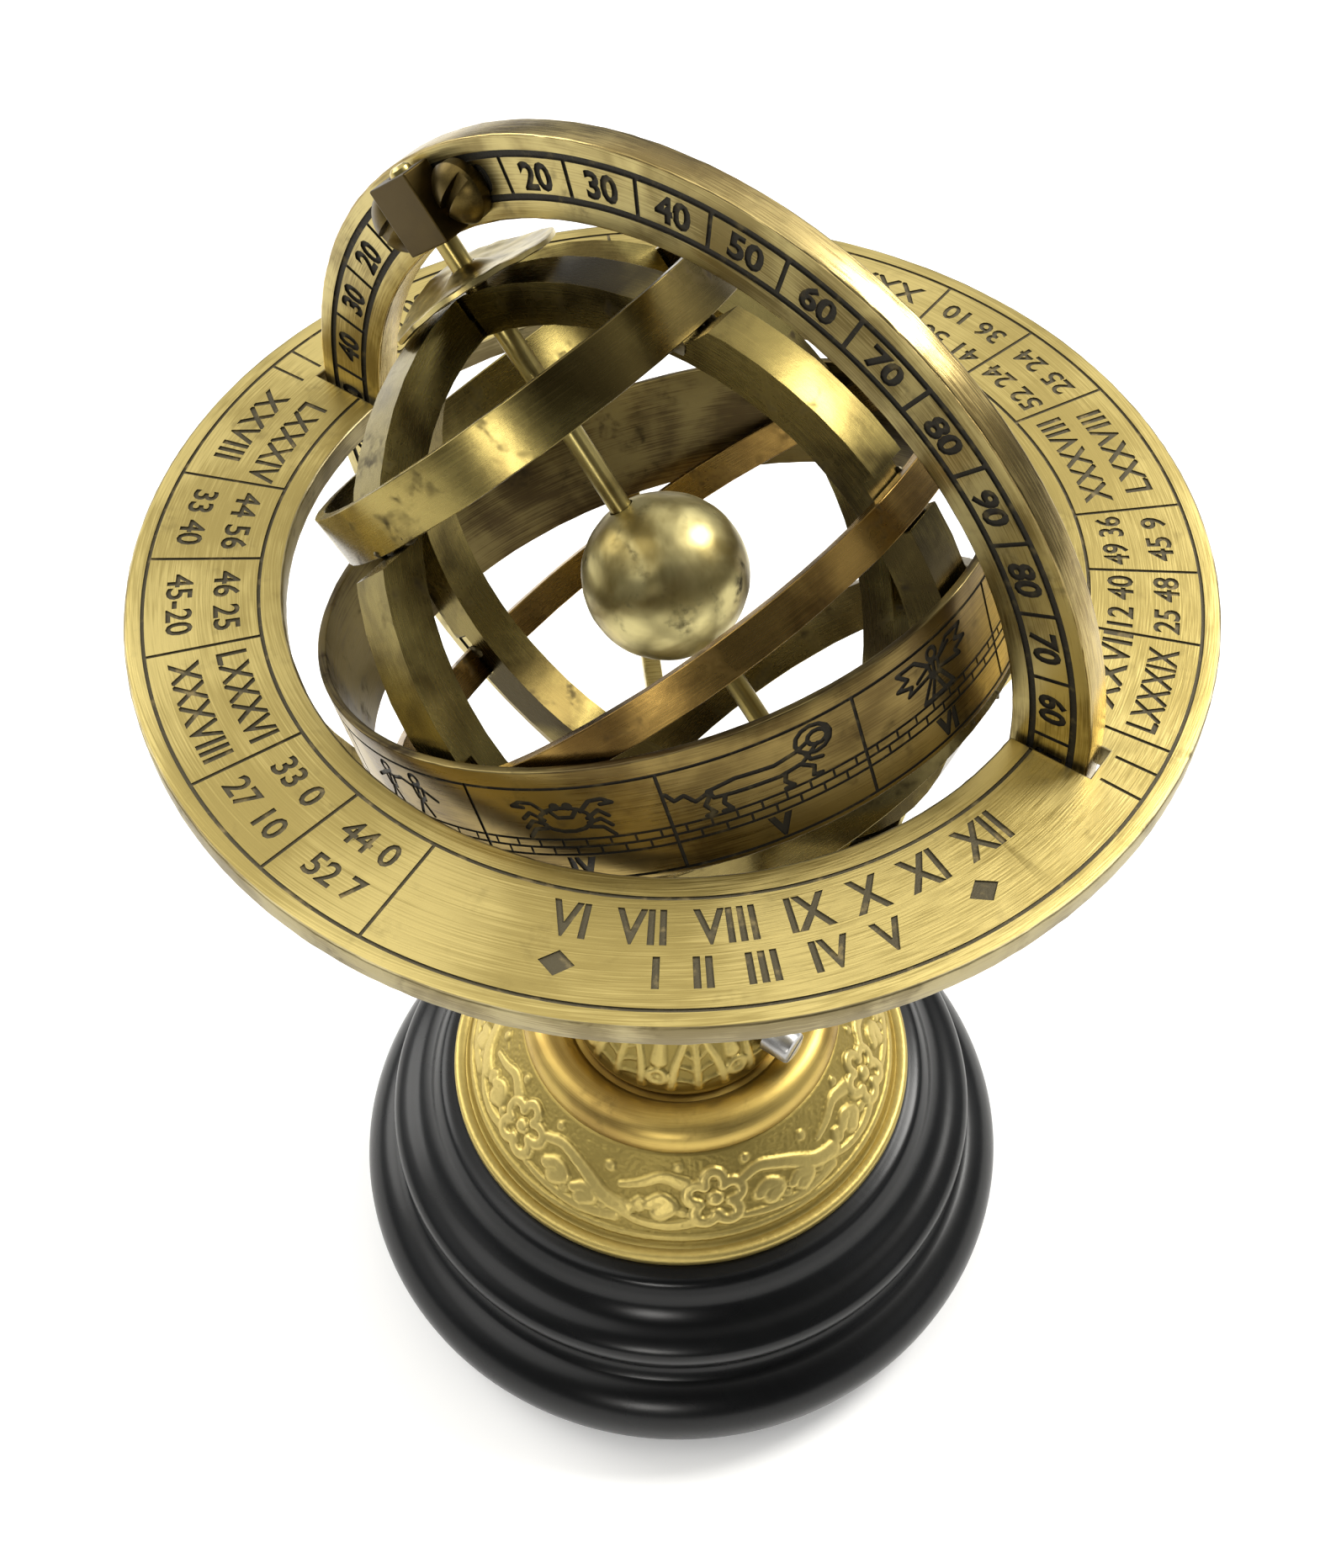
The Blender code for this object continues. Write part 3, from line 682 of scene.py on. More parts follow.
def both(*line):
    """A line and its mirror image."""
    return [[(s * x, y) for x, y in line] for s in (-1, 1)]


def sign_figures():
    """Twelve simple line drawings, each as open lines and closed lines, about ten wide and four high."""
    horns = [[(3.4, 4.1), (2.8, 4.7), (2.2, 4.2)], [(3.8, 4.1), (4.5, 4.6), (4.9, 4.1)]]
    ram = beast(2, 1, ((-4.3, 1.6),), horns)
    bull = beast(1.4, 1.2, horns=[[(3.1, 3.6), (2.9, 4.3)], [(4, 3.6), (4.4, 4.3)]])
    left, right = person(-1.6, ((-1, -0.8), (1, 0.4))), person(1.6, ((-1, 0.4), (1, -0.8)))
    twins = (left[0] + right[0], left[1] + right[1])
    legs = [[(s * 1.5, 1.3 + 0.4 * k), (s * 2.4, 1.6 + 0.8 * k), (s * 3, 0.9 + 0.9 * k)]
        for s in (-1, 1) for k in (-1, 0, 1)]
    claws = both((1.2, 2.4), (2, 3.3), (2.9, 3.4), (3.5, 3), (2.7, 2.9))
    crab = (legs + claws + [[(-0.9, 2.5), (-0.5, 1.9), (0.5, 1.9), (0.9, 2.5)]],
        [oval(0, 1.7, 1.8, 1.15), oval(-0.45, 2.95, 0.22, 0.22, 8), oval(0.45, 2.95, 0.22, 0.22, 8)])
    mane = [oval(3.5, 3.1, 1.25, 1.15, 12), oval(3.8, 3.1, 0.7, 0.6, 10)]
    lion_body = beast(1.2, 0.6, ((-4.8, 1.5), (-5.4, 2.3), (-6.1, 2), (-6.5, 2.7)))
    lion = (lion_body[0] + [[(2.7, 2.2), (3, 1.5), (3.8, 1.3)]], mane)
    maiden = person(0, ((-1, -0.6), (1, 0.6)))
    wings = both((0.5, 2.8), (1.6, 3.9), (3.2, 3.9), (2.4, 3), (3.4, 2.6), (2.2, 2.2), (2.6, 1.6), (0.5, 2))
    skirt = [[(-0.4, 1.8), (-1.5, 0), (1.5, 0), (0.4, 1.8)]]
    virgin = (maiden[0] + wings + skirt, maiden[1])
    pans = [[(s * 3.2, 3.3), (s * 3.2 - 1.1, 1.2), (s * 3.2 + 1.1, 1.2), (s * 3.2, 3.3)] for s in (-1, 1)]
    bowls = [[(s * 3.2 - 1.1, 1.2), (s * 3.2 - 0.6, 0.6), (s * 3.2 + 0.6, 0.6), (s * 3.2 + 1.1, 1.2)]
        for s in (-1, 1)]
    scales = (pans + bowls + [[(-3.2, 3.3), (3.2, 3.3)], [(0, 3.8), (0, 0.3)], [(-1, 0.2), (1, 0.2)]], [])
    tail = [[(1.8, 1.8), (3, 1.6), (4, 2), (4.4, 3), (3.6, 3.7), (3, 3.2)]]
    scorpion = (legs + claws + tail, [oval(0, 1.8, 1.7, 0.7), oval(-1, 1.8, 0.5, 0.4, 8)])
    torso = person(2.4, ((1, 0.6), (-1, 0.3)))
    bow = [[(4.3, 4.4), (5.2, 3.4), (4.3, 2.2)], [(4.3, 4.4), (4.3, 2.2)], [(2.4, 3.3), (5.6, 3.3)]]
    archer = (beast(0, 0.3)[0][:5] + torso[0][3:] + bow, torso[1])
    goat = beast(2, 0.9, ((-4.6, 1.2), (-5.6, 1.8), (-5.2, 2.8), (-6, 3.4)),
        [[(3.4, 4), (2.6, 4.9), (1.7, 4.6)], [(3.1, 2.9), (3.3, 2.2)]])
    carrier = person(-1, ((-1, -0.6), (1, 0.2)))
    pour = [[(1.6 + k, 2.5), (2.2 + k, 1.9), (1.8 + k, 1.2), (2.4 + k, 0.5)] for k in (0, 0.7, 1.4)]
    bearer = (carrier[0] + pour, carrier[1] + [oval(1.1, 3, 0.8, 0.5, 10, -0.4)])
    fish = [oval(-1.8, 2.7, 2.2, 0.7, 14), oval(1.8, 1.1, 2.2, 0.7, 14)]
    fins = [[(0.3, 2.7), (1.1, 3.4), (1.1, 2), (0.3, 2.7)], [(-0.3, 1.1), (-1.1, 1.8), (-1.1, 0.4), (-0.3, 1.1)],
        [(-3.2, 2.7), (-4.4, 1.8), (3.6, 2), (3.9, 1.2)]]
    fishes = (fins, fish)
    return [ram, bull, twins, crab, lion, virgin, scales, scorpion, archer, goat, bearer, fishes]


FIRST_SIGN = 3


def make_zodiac():
    outer = ZODIAC_INNER + ZODIAC_THICK
    length, half, edge = tau * outer, ZODIAC_WIDE / 2, 0.12
    start = radians(3.4)
    cell = length / 12
    groups = []
    for low, high in ((4.2, 4.5), (-5.68, -5.4), (-1.25, -0.99), (-2.1, -1.84), (-2.95, -2.69)):
        groups.append([box(0.004, low, length - 0.004, high)])
    figures = sign_figures()
    for number in range(12):
        left = cell * number + 0.16
        groups.append([box(left - 0.16, -5.5, left + 0.16, 4.3)])
        middle = left + cell / 2
        for brick in range(1, 16):
            x, low = left + cell * brick / 16, -2 if brick % 2 else -2.8
            groups.append([box(x - 0.11, low, x + 0.11, low + 0.85)])
        sign = (number + FIRST_SIGN) % 12
        for lines, closed in zip(figures[sign], (False, True)):
            for line in lines:
                groups += stroke([(middle + x * 1.26, -0.86 + y * 1.12) for x, y in line], 0.42, closed)
        name = lettering(NUMERALS[sign], 1.9, None, 0.065)
        groups.append([[(x + middle, y - 4.18) for x, y in loop] for loop in name])
    outline = box(0, edge - half, length, half - edge)
    guides = [((length * i / 180, -half - 1), (length * i / 180, half + 1)) for i in range(1, 180)]

    def wrap(x, y, height):
        return *around(outer + height, start + x / outer), y

    points, faces, kinds = plate([outline], groups, ZODIAC_CUT, ZODIAC_THICK, edge, wrap, guides, (0, length))
    # The band's brass is painted dark, and its inside and edges darker still, as painted shade for the dark
    # reflections the band shows.
    face = brass("zodiac_face_painted_shade", (0.27, 0.195, 0.066), (0.11, 0.074, 0.025), ZODIAC_FRAME, 0.3, 0.5, 0.5, 90, 0.3)
    rim = brass("zodiac_inside_painted_shade", (0.2, 0.155, 0.06), (0.075, 0.052, 0.022), ZODIAC_FRAME, 0.4, 0.5, 0.9, 110)
    make_object("engraved_zodiac", points, faces, [face, PATINA, rim], "sphere", ["zodiac_band"],
        ZODIAC_FRAME, material_index=kinds)


# Cast pedestal
def cast_ring(name, profile, steps, relief, replaces, ends):
    """A turned shape whose outline between two profile points carries a cast relief."""
    points = np.array(profile)
    count = len(points)
    radii, heights = points[:, 0], points[:, 1]
    angles = np.arange(steps) * tau / steps
    rise = np.zeros((count, steps))
    first, last = ends
    slope = points[first:last + 1]
    run = np.concatenate([[0], np.cumsum(np.linalg.norm(np.diff(slope, axis=0), axis=1))])
    rise[first:last + 1] = relief(np.degrees(angles)[None, :], run[:, None], run[-1])
    tangent = np.gradient(slope, axis=0)
    tangent /= np.linalg.norm(tangent, axis=1)[:, None]
    out = np.zeros((count, 2))
    out[first:last + 1] = np.stack([tangent[:, 1], -tangent[:, 0]], 1)
    r = radii[:, None] + out[:, :1] * rise
    z = heights[:, None] + out[:, 1:] * rise
    co = np.stack([r * np.cos(angles), r * np.sin(angles), z], 2).reshape(-1, 3)
    faces = join_rows(grid_rows(count, steps))
    # Relief height kept for the painted shading of the cast brass: hollows painted darker, raised parts brighter,
    # plain turned parts a middle tone.
    high = np.clip(rise / 0.45, 0, 1).reshape(-1)
    plain = np.ones(count, bool)
    plain[first:last + 1] = False
    high[np.repeat(plain, steps)] = 0.55
    make_object(name, co, faces, [CAST_PAINTED_SHADING], "base", replaces, sharp=55, relief=high)


def smooth_line(points, steps=14):
    """Points of a smooth curve through the given ones."""
    p = np.array(points, float)
    p = np.concatenate([[2 * p[0] - p[1]], p, [2 * p[-1] - p[-2]]])
    made = []
    for a, b, c, d in zip(p, p[1:], p[2:], p[3:]):
        for t in np.arange(steps) / steps:
            made.append(0.5 * (2 * b + (c - a) * t + (2 * a - 5 * b + 4 * c - d) * t ** 2
                + (3 * b - a - 3 * c + d) * t ** 3))
    return np.array(made + [p[-2]])


def ridge(x, y, line, width, height):
    """A soft rounded ridge along a line; width may grow along it."""
    line = np.asarray(line)
    wide = np.linspace(*width, len(line)) if isinstance(width, tuple) else np.full(len(line), width)
    rise = np.zeros(np.broadcast(x, y).shape)
    for (px, py), w in zip(line, wide * 1.35):
        near = np.clip(1 - ((x - px) ** 2 + (y - py) ** 2) / w ** 2, 0, 1)
        rise = np.maximum(rise, height * near * (2 - near))
    return rise


def raised(x, y, ridges):
    """The highest of several ridges, each a line with its width and height."""
    rise = np.zeros(x.shape)
    for line, width, height in ridges:
        rise = np.maximum(rise, ridge(x, y, line, width, height))
    return rise


def blotches(x, y, scale, seed):
    flat = [noise.noise(Vector((float(a) * scale, float(b) * scale, seed))) for a, b in zip(x.ravel(), y.ravel())]
    return np.array(flat).reshape(x.shape)


def flange_relief(angle, run, total):
    """Flowers joined by curling stems, with buds between them, on a stippled ground."""
    flowers = np.array([250.7, 315.6, 379.4, 437, 495, 553, 610.7])
    turned_angle = (angle - flowers[0]) % 360 + flowers[0]
    spot = np.clip(np.searchsorted(flowers, turned_angle, side="right") - 1, 0, 5)
    share = (turned_angle - flowers[spot]) / (flowers[spot + 1] - flowers[spot])
    pitch = 25
    x, y = np.broadcast_arrays(share * pitch, run * 11.5 / total)
    ridges = []
    for centre in (0, pitch):
        turns = np.linspace(0, tau, 90)
        lobes = 1.75 + 1.6 * np.abs(np.cos(2.5 * turns)) ** 0.7
        flower = np.stack([centre + lobes * np.cos(turns + 0.3), 5.9 + lobes * np.sin(turns + 0.3)], 1)
        ridges += [(flower, 0.6, 0.42), ([(centre, 5.9)], 0.85, 0.5)]
    stems = [([(3.6, 7.6), (6, 8.3), (9.5, 7), (12.5, 5), (15, 4.3)], (0.5, 0.85), 0.42),
        ([(21.6, 8), (19, 8.8), (16.5, 7.8), (14.2, 7)], (0.7, 0.35), 0.36),
        ([(2.6, 3), (6, 2.6), (10, 2.4), (14, 2.9)], (0.35, 0.6), 0.34),
        ([(22.6, 3.2), (20, 2.7), (17, 2.9), (14.8, 3.6)], (0.55, 0.35), 0.34),
        ([(5, 4.9), (6.3, 5.6), (7.3, 4.8), (6.4, 4.1)], (0.62, 0.85), 0.44),
        ([(9, 4.2), (10.2, 4.9), (11.1, 4.1), (10.2, 3.5)], (0.5, 0.8), 0.44),
        ([(17.6, 5.3), (18.9, 6), (19.9, 5.1), (18.9, 4.4)], (0.6, 0.85), 0.44),
        ([(16.6, 5.6), (16.2, 5.1), (16.6, 4.7)], (0.5, 0.5), 0.36),
        ([(12.4, 8.8)], 0.55, 0.34), ([(4.4, 9.9)], 0.5, 0.34), ([(20.8, 10.1)], 0.5, 0.34),
        ([(12.6, 3.7)], 0.45, 0.32), ([(8, 3.4)], 0.45, 0.32), ([(21.3, 4.4)], 0.5, 0.34),
        ([(pitch * k / 50, 1.15) for k in range(51)], 0.34, 0.26)]
    for line, width, height in stems:
        curve = smooth_line(line) if len(line) > 2 else line
        wide = tuple(1.12 * w for w in width) if isinstance(width, tuple) else 1.12 * width
        ridges.append((curve, wide, height * 0.85))
    rise = raised(x, y, ridges)
    ground = 0.09 * blotches(x, y, 2.2, 3) + 0.05 * blotches(x, y, 5, 9)
    edge = np.clip(np.minimum(y, 11.5 - y) / 0.5, 0, 1)
    return (rise + ground * np.clip(1 - rise / 0.2, 0.2, 1)) * edge


def bell_relief(angle, run, total):
    """Upright leaves with ribs, and rosettes and slim leaves between them."""
    x, y = np.broadcast_arrays((angle % 45) / 45 * 8, run * 16 / total)
    ridges = []
    for centre in (0, 8):
        leaf = smooth_line([(centre - 2.6, 0.6), (centre - 2.2, 4), (centre - 1, 7.6), (centre, 9.4),
            (centre + 1, 7.6), (centre + 2.2, 4), (centre + 2.6, 0.6)])
        ridges += [(leaf, 0.38, 0.34), (smooth_line([(centre, 0.6), (centre, 4), (centre, 8.6)]), 0.32, 0.3)]
        for k in range(4):
            for s in (-1, 1):
                rib = [(centre, 1 + 1.8 * k), (centre + s * 0.8, 1.7 + 1.8 * k),
                    (centre + s * (1.9 - 0.38 * k), 2 + 1.8 * k)]
                ridges.append((smooth_line(rib, 6), 0.22, 0.2))
    ring = [(4 + 0.85 * cos(t), 2.3 + 0.85 * sin(t)) for t in np.linspace(0, tau, 18)]
    small = smooth_line([(4, 4.4), (4, 8), (4, 12)])
    ridges += [(ring, 0.36, 0.34), ([(4, 2.3)], 0.34, 0.3), (small, (0.75, 0.22), 0.34)]
    ground = 0.03 * blotches(x, y, 3, 5)
    edge = np.clip(np.minimum(y, 16 - y) / 0.5, 0, 1)
    return (raised(x, y, ridges) + ground) * edge


def make_pedestal():
    slope = [(27.6 - 7.6 * t, 29.7 + 8.7 * t ** 0.9) for t in np.linspace(0, 1, 84)]
    rim = [(26.4, 28.2), (26.4, 27.95), (29.2, 27.95), (29.38, 28.15), (29.4, 29.1), (29.3, 29.45), (29, 29.66),
        (28.7, 29.72), (28.2, 29.62), (27.9, 29.5)]
    profile = [(6.3, 36.6), (18.6, 36.6), *rim, *slope, (19.4, 38.6), (6.3, 38.6)]
    first = 2 + len(rim)
    cast_ring("cast_flange", profile, 720, flange_relief, ["pedestal_flange"], (first, first + 83))

    dome = arc((16.8, 39.4), 3.1, -8, 150, 28)
    bead = [(6.3, 38.9), (19.2, 38.85), (19.6, 38.95), *dome, (13.75, 40.95), (6.3, 41)]
    satin = brass("bead_brass", (0.54, 0.39, 0.11), (0.33, 0.22, 0.06), None, 0.4, 0.3, 0.3, 60, 0.2)
    turned("smooth_bead", bead, satin, "base", ["pedestal_bead"], steps=160)

    skirt = smooth_line([(13.3, 41.9), (13, 43.4), (11.6, 46.2), (9.8, 49.4), (8.3, 53), (7.3, 57)], 16)
    collar = [(7.15, 57.6), (7.2, 58.2), (8, 58.5), (8.45, 58.9), (8.6, 59.6), (8.6, 60.4), (8.45, 61.1),
        (8.35, 61.8), (8.1, 62)]
    foot = [(2.35, 31), (6, 31), (6, 41.3), (13.1, 41.3), (13.4, 41.45), (13.4, 41.75)]
    profile = [*foot, *map(tuple, skirt), *collar, (4.3, 62), (4.3, 43.5), (2.35, 43.5)]
    cast_ring("cast_bell", profile, 400, bell_relief, ["pedestal_bell"], (len(foot), len(foot) + len(skirt) - 1))


# Wooden base
def make_base():
    bulge = arc((WOOD_RADIUS - 6, 7.5), 6, -78, 78, 26)
    ogee = smooth_line([(37.1, 15.7), (37.7, 17), (38.25, 18.7), (37.95, 20.5), (36.5, 21.8), (34.6, 22.7),
        (33.1, 24.1), (32.2, 25.8), (31.2, 27.1), (29.4, WOOD_TOP)], 6)
    profile = [(9, 1.3), (38, 1.3), *bulge, (38.1, 13.6), (37.5, 14.2), (37.15, 14.9), *map(tuple, ogee),
        (2.6, WOOD_TOP), (2.6, 8), (9, 8)]
    turned("turned_base", profile, WOOD, "base", ["wood_base"], steps=192, sharp=75)
    pad = [(0, 0), (36.6, 0), (36.9, 0.15), (37, 0.5), (36.9, 0.85), (36.6, 1), (0, 1)]
    turned("felt_disc", pad, FELT, "base", ["felt_pad"], steps=144, wobble=0.05)


# Screws, rod, ball and discs
def slotted(name, profile, slot, material, body, replaces, space, steps=48):
    """A turned screw with a slot cut across its head."""
    item = turned(name, profile, material, body, replaces, space, steps)
    width, depth, angle = slot
    top = max(h for _, h in profile)
    reach = 1.5 * max(r for r, _ in profile)
    x, y, low, high = reach, width / 2, top - depth, top + 1
    corners = [(a, b, z) for z in (low, high) for a, b in box(-x, -y, x, y)]
    quads = [(0, 3, 2, 1), (4, 5, 6, 7), (0, 1, 5, 4), (1, 2, 6, 5), (2, 3, 7, 6), (3, 0, 4, 7)]
    mesh = bpy.data.meshes.new("slot_tool")
    place = space @ turn(degrees(angle), "Z")
    mesh.from_pydata([tuple((place @ Vector(c)) * MM) for c in corners], [], quads)
    tool = linked("slot_tool", mesh)
    modifier = item.modifiers.new("slot", "BOOLEAN")
    modifier.operation, modifier.solver, modifier.object = "DIFFERENCE", "EXACT", tool
    made = bpy.data.meshes.new_from_object(item.evaluated_get(bpy.context.evaluated_depsgraph_get()))
    item.modifiers.clear()
    item.data = made
    bpy.data.objects.remove(tool)
    data = bmesh.new()
    data.from_mesh(made)
    break_edges(data, 40, 0.08)
    settle(data, made, 35)
    return item


def make_pivots():
    for name, sign in (("north", 1), ("south", -1)):
        pivot = pivot_frame(sign)
        refined(f"{name}_pivot_block", BLOCK, "meridian", 0.16, 0.03)
        for letter, side in (("a", -1), ("b", 1)):
            seat = pivot @ shift(side * PIVOT_SPREAD, PIVOT_RADIUS, 0.15)
            dome = arc((0, -0.55), 3.12, 26, 88, 12)
            profile = [(0, -2.6), (1, -2.6), (1, 0), (2.62, 0), (2.72, 0.08), (2.72, 0.72),
                *[(r * 1.05, h) for r, h in dome if h > 0.85], (0, 2.57)]
            slotted(f"{name}_dome_screw_{letter}", profile, (1, 1.25, 0.39 + 0.06 * side), PIVOT, "meridian",
                [f"{name}_pivot_screw_{letter}"], seat)


def make_axis():
    low, high = -ROD_HALF, ROD_HALF
    r = ROD_RADIUS
    profile = [(0, low), (r * 0.6, low + 0.05), (r * 0.9, low + 0.3), (r, low + 0.7), *[(r, z) for z in
        np.linspace(low + 2, high - 2, 24)], (r, high - 0.7), (r * 0.9, high - 0.3),
        (r * 0.6, high - 0.05), (0, high)]
    rod_brass = brass("rod_brass", (0.5, 0.41, 0.15), (0.26, 0.2, 0.065), ROD_FRAME, 0.3, 0.1, 0.5, 120, 0)
    turned("axis_rod", profile, rod_brass, "sphere", ["polar_axis_rod"], ROD_FRAME, 32, 0.012)

    bore = ROD_RADIUS + 0.15
    edge = degrees(asin(bore / BALL_RADIUS))
    surface = arc((0, 0), BALL_RADIUS, edge - 90, 90 - edge, 64)
    points, faces = turned_grid(surface, 96)
    dented = []
    for p in points:
        v = Vector(p)
        dent = 0.1 * noise.noise(v * 0.22) + 0.035 * noise.noise(v * 0.9) - 0.05
        dented.append(tuple(v + v.normalized() * dent))
    ball = brass("mottled_ball", (0.62, 0.54, 0.25), (0.24, 0.185, 0.062), ROD_FRAME, 0.37, 0, 1, 120, 0)
    make_object("mottled_earth_ball", dented, faces, [ball], "sphere", ["earth_ball"], ROD_FRAME)


def bent_disc(name, sign, replaces):
    """A thin disc beaten out of flat, with one side curled up, and a puddle of solder at the rod."""
    rings, steps = 26, 128
    low = sign * (COLURE_OUTER + 0.5)

    def lift(r, a):
        share = r / DISC_RADIUS
        facing = cos(a - 0.957)
        bend = 0.6 * facing ** 2 - 1.1 * sin(a - 0.957) ** 2
        wave = 0.16 * sin(3 * a + 1)
        curl = 0.5 * max(0, cos(a - 2.62)) ** 7 * max(0, share - 0.5) ** 1.5 * 2.6
        puddle = 0.9 * exp(-((r - 1) / 1.4) ** 2)
        hammered = 0.1 * noise.noise(Vector((*around(r, a), sign)) * 0.7)
        return (bend + wave) * share ** 1.3 + curl + puddle + hammered * share

    points = []
    bore = ROD_RADIUS + 0.12
    for side in (0, 1):
        for k in range(rings + 1):
            r = bore + (DISC_RADIUS - bore) * k / rings
            for i in range(steps):
                a = tau * i / steps
                ragged = 0.1 * noise.noise(Vector((*around(1, a), 4)) * 3) if k == rings else 0
                up = lift(r, a)
                skin = up if side else up * min(1, r / 3.2)
                edge = 0.1 if k == rings else 0
                height = skin + (0.58 - edge if side else edge)
                points.append((*around(r + ragged, a), low + sign * height))
    rows = grid_rows(2 * rings + 2, steps)
    near, far = rows[:rings + 1], rows[rings + 1:]
    faces = []
    for strip in (near, far, [near[0], far[0]], [near[-1], far[-1]]):
        faces += join_rows(strip, False)
    disc = brass(f"{name}_brass", (0.52, 0.43, 0.18), (0.24, 0.185, 0.065), ROD_FRAME, 0.3, 0.1, 0.8, 210, 0)
    make_object(name, points, faces, [disc], "sphere", replaces, ROD_FRAME)


# Soldered cage
def make_cage():
    colure_x = CAGE_FRAME @ basis((0, 1, 0), (1, 0, 0))
    colure_y = CAGE_FRAME @ basis((1, 0, 0), (0, 1, 0))
    cancer = CAGE_FRAME @ shift(0, 0, CANCER_HEIGHT) @ turn(CANCER_TILT[0], "X") @ turn(CANCER_TILT[1], "Y")
    # Brass tones of the rings: their own tarnished colour, darkened further as painted shade for the dark
    # reflections and shaded sides of the rings.
    ring_tones_with_painted_shade = (("solstitial_colure", (0.2, 0.155, 0.048), (0.052, 0.038, 0.012), colure_x),
        ("equinoctial_colure", (0.23, 0.185, 0.062), (0.075, 0.055, 0.018), colure_y),
        ("equator_ring", (0.32, 0.2, 0.055), (0.11, 0.064, 0.018), CAGE_FRAME),
        ("tropic_of_cancer", (0.31, 0.245, 0.08), (0.12, 0.088, 0.028), cancer),
        ("tropic_of_capricorn", (0.25, 0.195, 0.072), (0.1, 0.074, 0.027), CAGE_FRAME))
    for node, light, dark, space in ring_tones_with_painted_shade:
        skin = brass(node + "_brass", light, dark, space, 0.27, 0.1, 0.9, 95, 0.1)
        refined(node, skin, "sphere", 0.11, 0.05)


def lump(centre, normal, size, seed):
    """A flattened, uneven drop of solder."""
    helper = Vector((0, 0, 1)) if abs(normal.z) < 0.9 else Vector((1, 0, 0))
    space = basis(helper.cross(normal).normalized(), normal.normalized(), centre)
    data = bmesh.new()
    bmesh.ops.create_icosphere(data, subdivisions=3, radius=1)
    points = []
    for vert in data.verts:
        bulge = 1 + 0.35 * noise.noise(vert.co * 1.6 + Vector((seed, 0, 0)))
        points.append(tuple(space @ Vector((vert.co.x * size[0] * bulge, vert.co.y * size[1] * bulge,
            vert.co.z * size[2] * bulge))))
    faces = [[v.index for v in face.verts] for face in data.faces]
    data.free()
    return points, faces


def make_solder():
    """Drops at every place where two rings of the cage cross, in one piece."""
    spots = []
    for quarter in range(4):
        way = Vector((*around(1, tau * quarter / 4), 0))
        side = Vector((-way.y, way.x, 0))
        for outer, height in TROPICS:
            for s in (-1, 1):
                spot = way * (outer - 0.9) + side * s * 2.2 + Vector((0, 0, height - 1.9))
                spots.append((spot, side, (0.9, 0.7, 0.35)))
        for s in (-1, 1):
            spot = way * (COLURE_OUTER - 1.5) + side * s * 2.25 + Vector((0, 0, EQUATOR_HEIGHT + 1.2 * s))
            spots.append((spot, side, (0.8, 0.7, 0.32)))
    points, faces = [], []
    for number, (spot, way, size) in enumerate(spots):
        co, quads = lump(CAGE_FRAME @ spot, CAGE_FRAME.to_3x3() @ way, size, 3.1 * number)
        faces += [[i + len(points) for i in quad] for quad in quads]
        points += co
    make_object("solder_joints", points, faces, [SOLDER], "sphere")


# Stem, cradle and small screws
def make_stand():
    refined("stem_fork", PLAIN, "head", 0.25, 0.03)
    for number in range(1, 5):
        refined(f"cradle_arm_{number}", PLAIN, "head", 0.25, 0.04)
        quarter = turn(90 * number - 45, "Z")
        seat = quarter @ shift(43, 0, 116.75) @ turn(180, "X")
        head = [(0, -3.2), (0.9, -3.2), (0.9, 0), (1.85, 0), (1.9, 0.1), (1.9, 0.7), (1.7, 0.95), (1.3, 1.2),
            (0.7, 1.32), (0, 1.35)]
        slotted(f"cradle_round_screw_{number}", head, (0.5, 0.6, 0.3 + 0.8 * (number - 1)), PIVOT, "head",
            [f"cradle_screw_{number}"], seat, 32)
    clamp = basis((1, 0, 0), FRONT, (0, -8.1, 80))
    thumb = [(0, -7.2), (1.1, -7.2), (1.1, 0), (1.9, 0), (1.9, 0.8), (2.9, 0.95), (3, 1.1), (3, 3.1),
        (2.85, 3.4), (2.5, 3.6), (0, 3.6)]
    slotted("clamp_round_screw", thumb, (0.8, 1, 0.9), PLAIN, "clamp_screw",
        ["meridian_clamp_screw"], clamp)
    lock = basis((0, 1, 0), (1, 0, 0), (13.1, 0, 46))
    grub = [(0, -8.7), (1.1, -8.7), (1.1, 0), (2, 0), (2.1, 0.12), (2.1, 3.4), (1.95, 3.68), (1.7, 3.8), (0, 3.8)]
    slotted("lock_round_screw", grub, (0.7, 1.1, 0.4), STEEL, "lock_screw", ["stem_lock_screw"], lock)
    for node in ("base_bolt", "base_washer"):
        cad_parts[node].data.materials.clear()
        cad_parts[node].data.materials.append(STEEL)


# Studio
def make_camera():
    """Looks down from the front left of the meridian, above the horizon ring."""
    azimuth, elevation, roll, distance = 33.704, 51.68, -1.358, 198.91
    aim = Vector((4.65, 3.1, 93.21))
    a, e, t = map(radians, (azimuth, elevation, roll))
    flat_right = Vector((cos(a), sin(a), 0))
    look = Vector((-sin(a) * cos(e), cos(a) * cos(e), -sin(e)))
    flat_down = look.cross(flat_right)
    right = flat_right * cos(t) + flat_down * sin(t)
    up = -look.cross(right)
    data = bpy.data.cameras.new("camera")
    data.lens, data.sensor_width = 43.967, 36
    data.shift_x, data.shift_y = -0.0407, -0.0263
    data.clip_start, data.clip_end = 0.01, 20
    placed = Matrix((right, up, -look)).transposed().to_4x4()
    placed.translation = (aim - look * distance) * MM
    camera = linked("camera", data)
    camera.matrix_world = placed
    bpy.context.scene.camera = camera


def make_light(name, place, aim, size, power, colour):
    data = bpy.data.lights.new(name, "AREA")
    data.shape, data.size, data.energy, data.color = "DISK", size, power, colour
    light = linked(name, data)
    light.location = place
    light.rotation_mode = "QUATERNION"
    light.rotation_quaternion = (Vector(aim) - Vector(place)).to_track_quat("-Z", "Y")


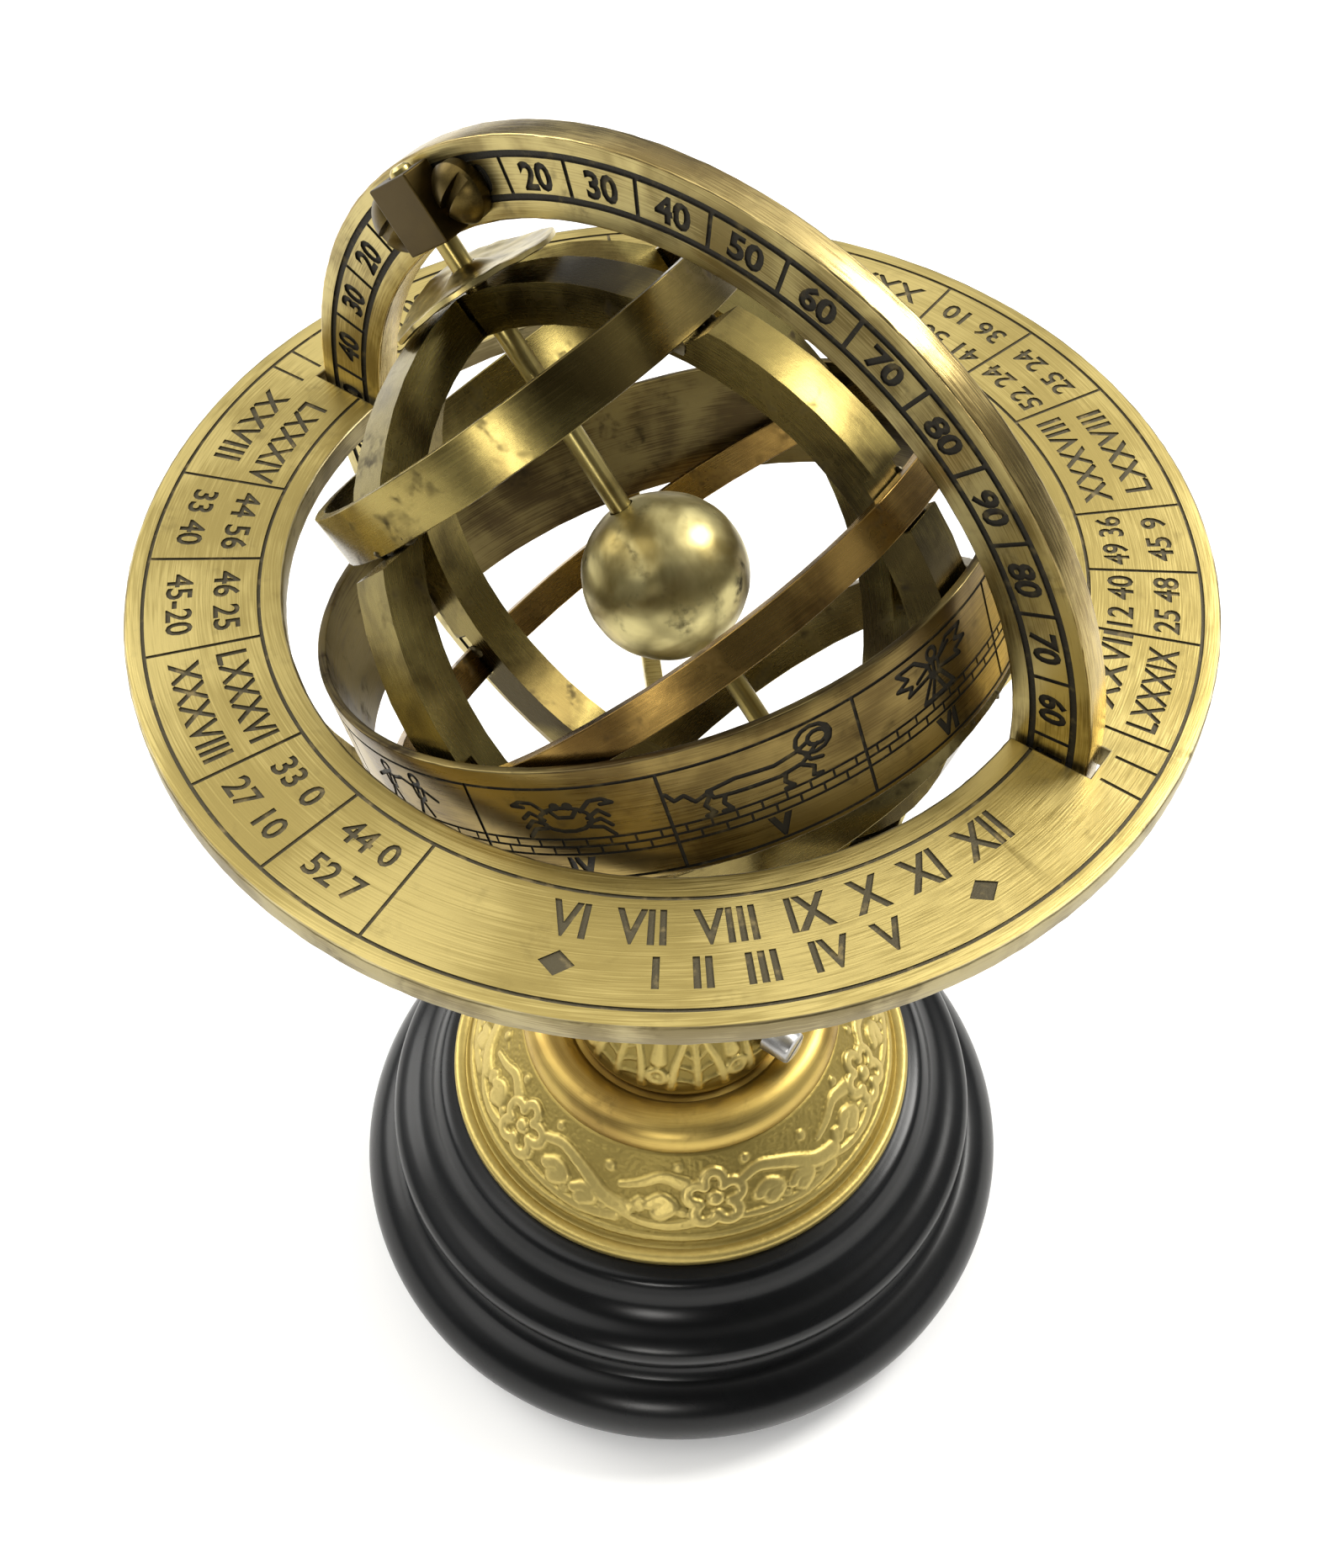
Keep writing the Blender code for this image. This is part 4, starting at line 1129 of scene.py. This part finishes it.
def make_world():
    """A white room with a bright ceiling behind, darker towards the viewer; plain white where the camera sees it."""
    world = bpy.data.worlds.new("studio")
    bpy.context.scene.world = world
    world.use_nodes = True
    w = Nodes(world.node_tree)
    place = w.node("ShaderNodeTexCoord").outputs["Generated"]
    height = w.vector("DOT_PRODUCT", place, (0, 0, 1))
    viewer = w.vector("DOT_PRODUCT", place, (0.5, -0.72, 0.48))
    ceiling = w.ramp(height, 0.12, 0.7)
    away = w.ramp(viewer, 0.95, 0.35)
    patches = w.node("ShaderNodeMapRange", {"Value": w.noise(place, 2.1, 2), "From Min": 0.35, "From Max": 0.65,
        "To Min": 0.45, "To Max": 1.4}).outputs["Result"]
    walls = w.math("ADD", w.math("MULTIPLY", ceiling, 0.85), 0.28)
    bright = w.math("MULTIPLY", w.math("MULTIPLY", walls, away), patches)
    level = w.math("ADD", bright, 0.05)
    room = w.vector("SCALE", w.mix(ceiling, (0.95, 0.97, 1, 1), (1, 0.985, 0.95, 1)), level)
    seen = w.node("ShaderNodeLightPath").outputs["Is Camera Ray"]
    back = world.node_tree.nodes["Background"]
    w.put(back.inputs["Color"], w.mix(seen, room, (1, 1, 1, 1)))


def make_floor():
    s = Shader("white_paper")
    tooth = s.noise(s.place, 400, 3)
    s.finish((0.95, 0.95, 0.945, 1), 0.9, s.bump(tooth, 0.05, 0.0002), metallic=0, Emission_Strength=0.18,
        Emission_Color=(1, 1, 1, 1))
    mesh = bpy.data.meshes.new("floor")
    reach = 3
    mesh.from_pydata([(x, y, 0) for x, y in box(-reach, -reach, reach, reach)], [], [(0, 1, 2, 3)])
    mesh.materials.append(s.material)
    floor = linked("floor", mesh)


def make_studio():
    make_world()
    make_floor()
    make_light("key", (0.3, 0.6, 0.78), (0, 0, 0.09), 0.34, 6.8, (1, 0.985, 0.95))
    make_light("left", (-0.8, -0.1, 0.5), (0, 0, 0.1), 0.5, 3.4, (1, 0.99, 0.96))
    make_light("low_front", (0.34, -0.7, 0.36), (0, 0, 0.13), 0.16, 1.1, (1, 0.98, 0.94))
    make_light("fill", (-0.3, -0.45, 0.95), (0, 0, 0.08), 0.8, 2.6, (1, 0.99, 0.97))
    bpy.context.scene.view_settings.view_transform = "Standard"


make_camera()
make_studio()
make_base()
make_pedestal()
make_stand()
make_horizon()
make_meridian()
make_pivots()
make_axis()
bent_disc("north_bent_disc", 1.0, ["north_hour_disc"])
bent_disc("south_bent_disc", -1.0, ["south_hour_disc"])
make_cage()
make_solder()
make_zodiac()
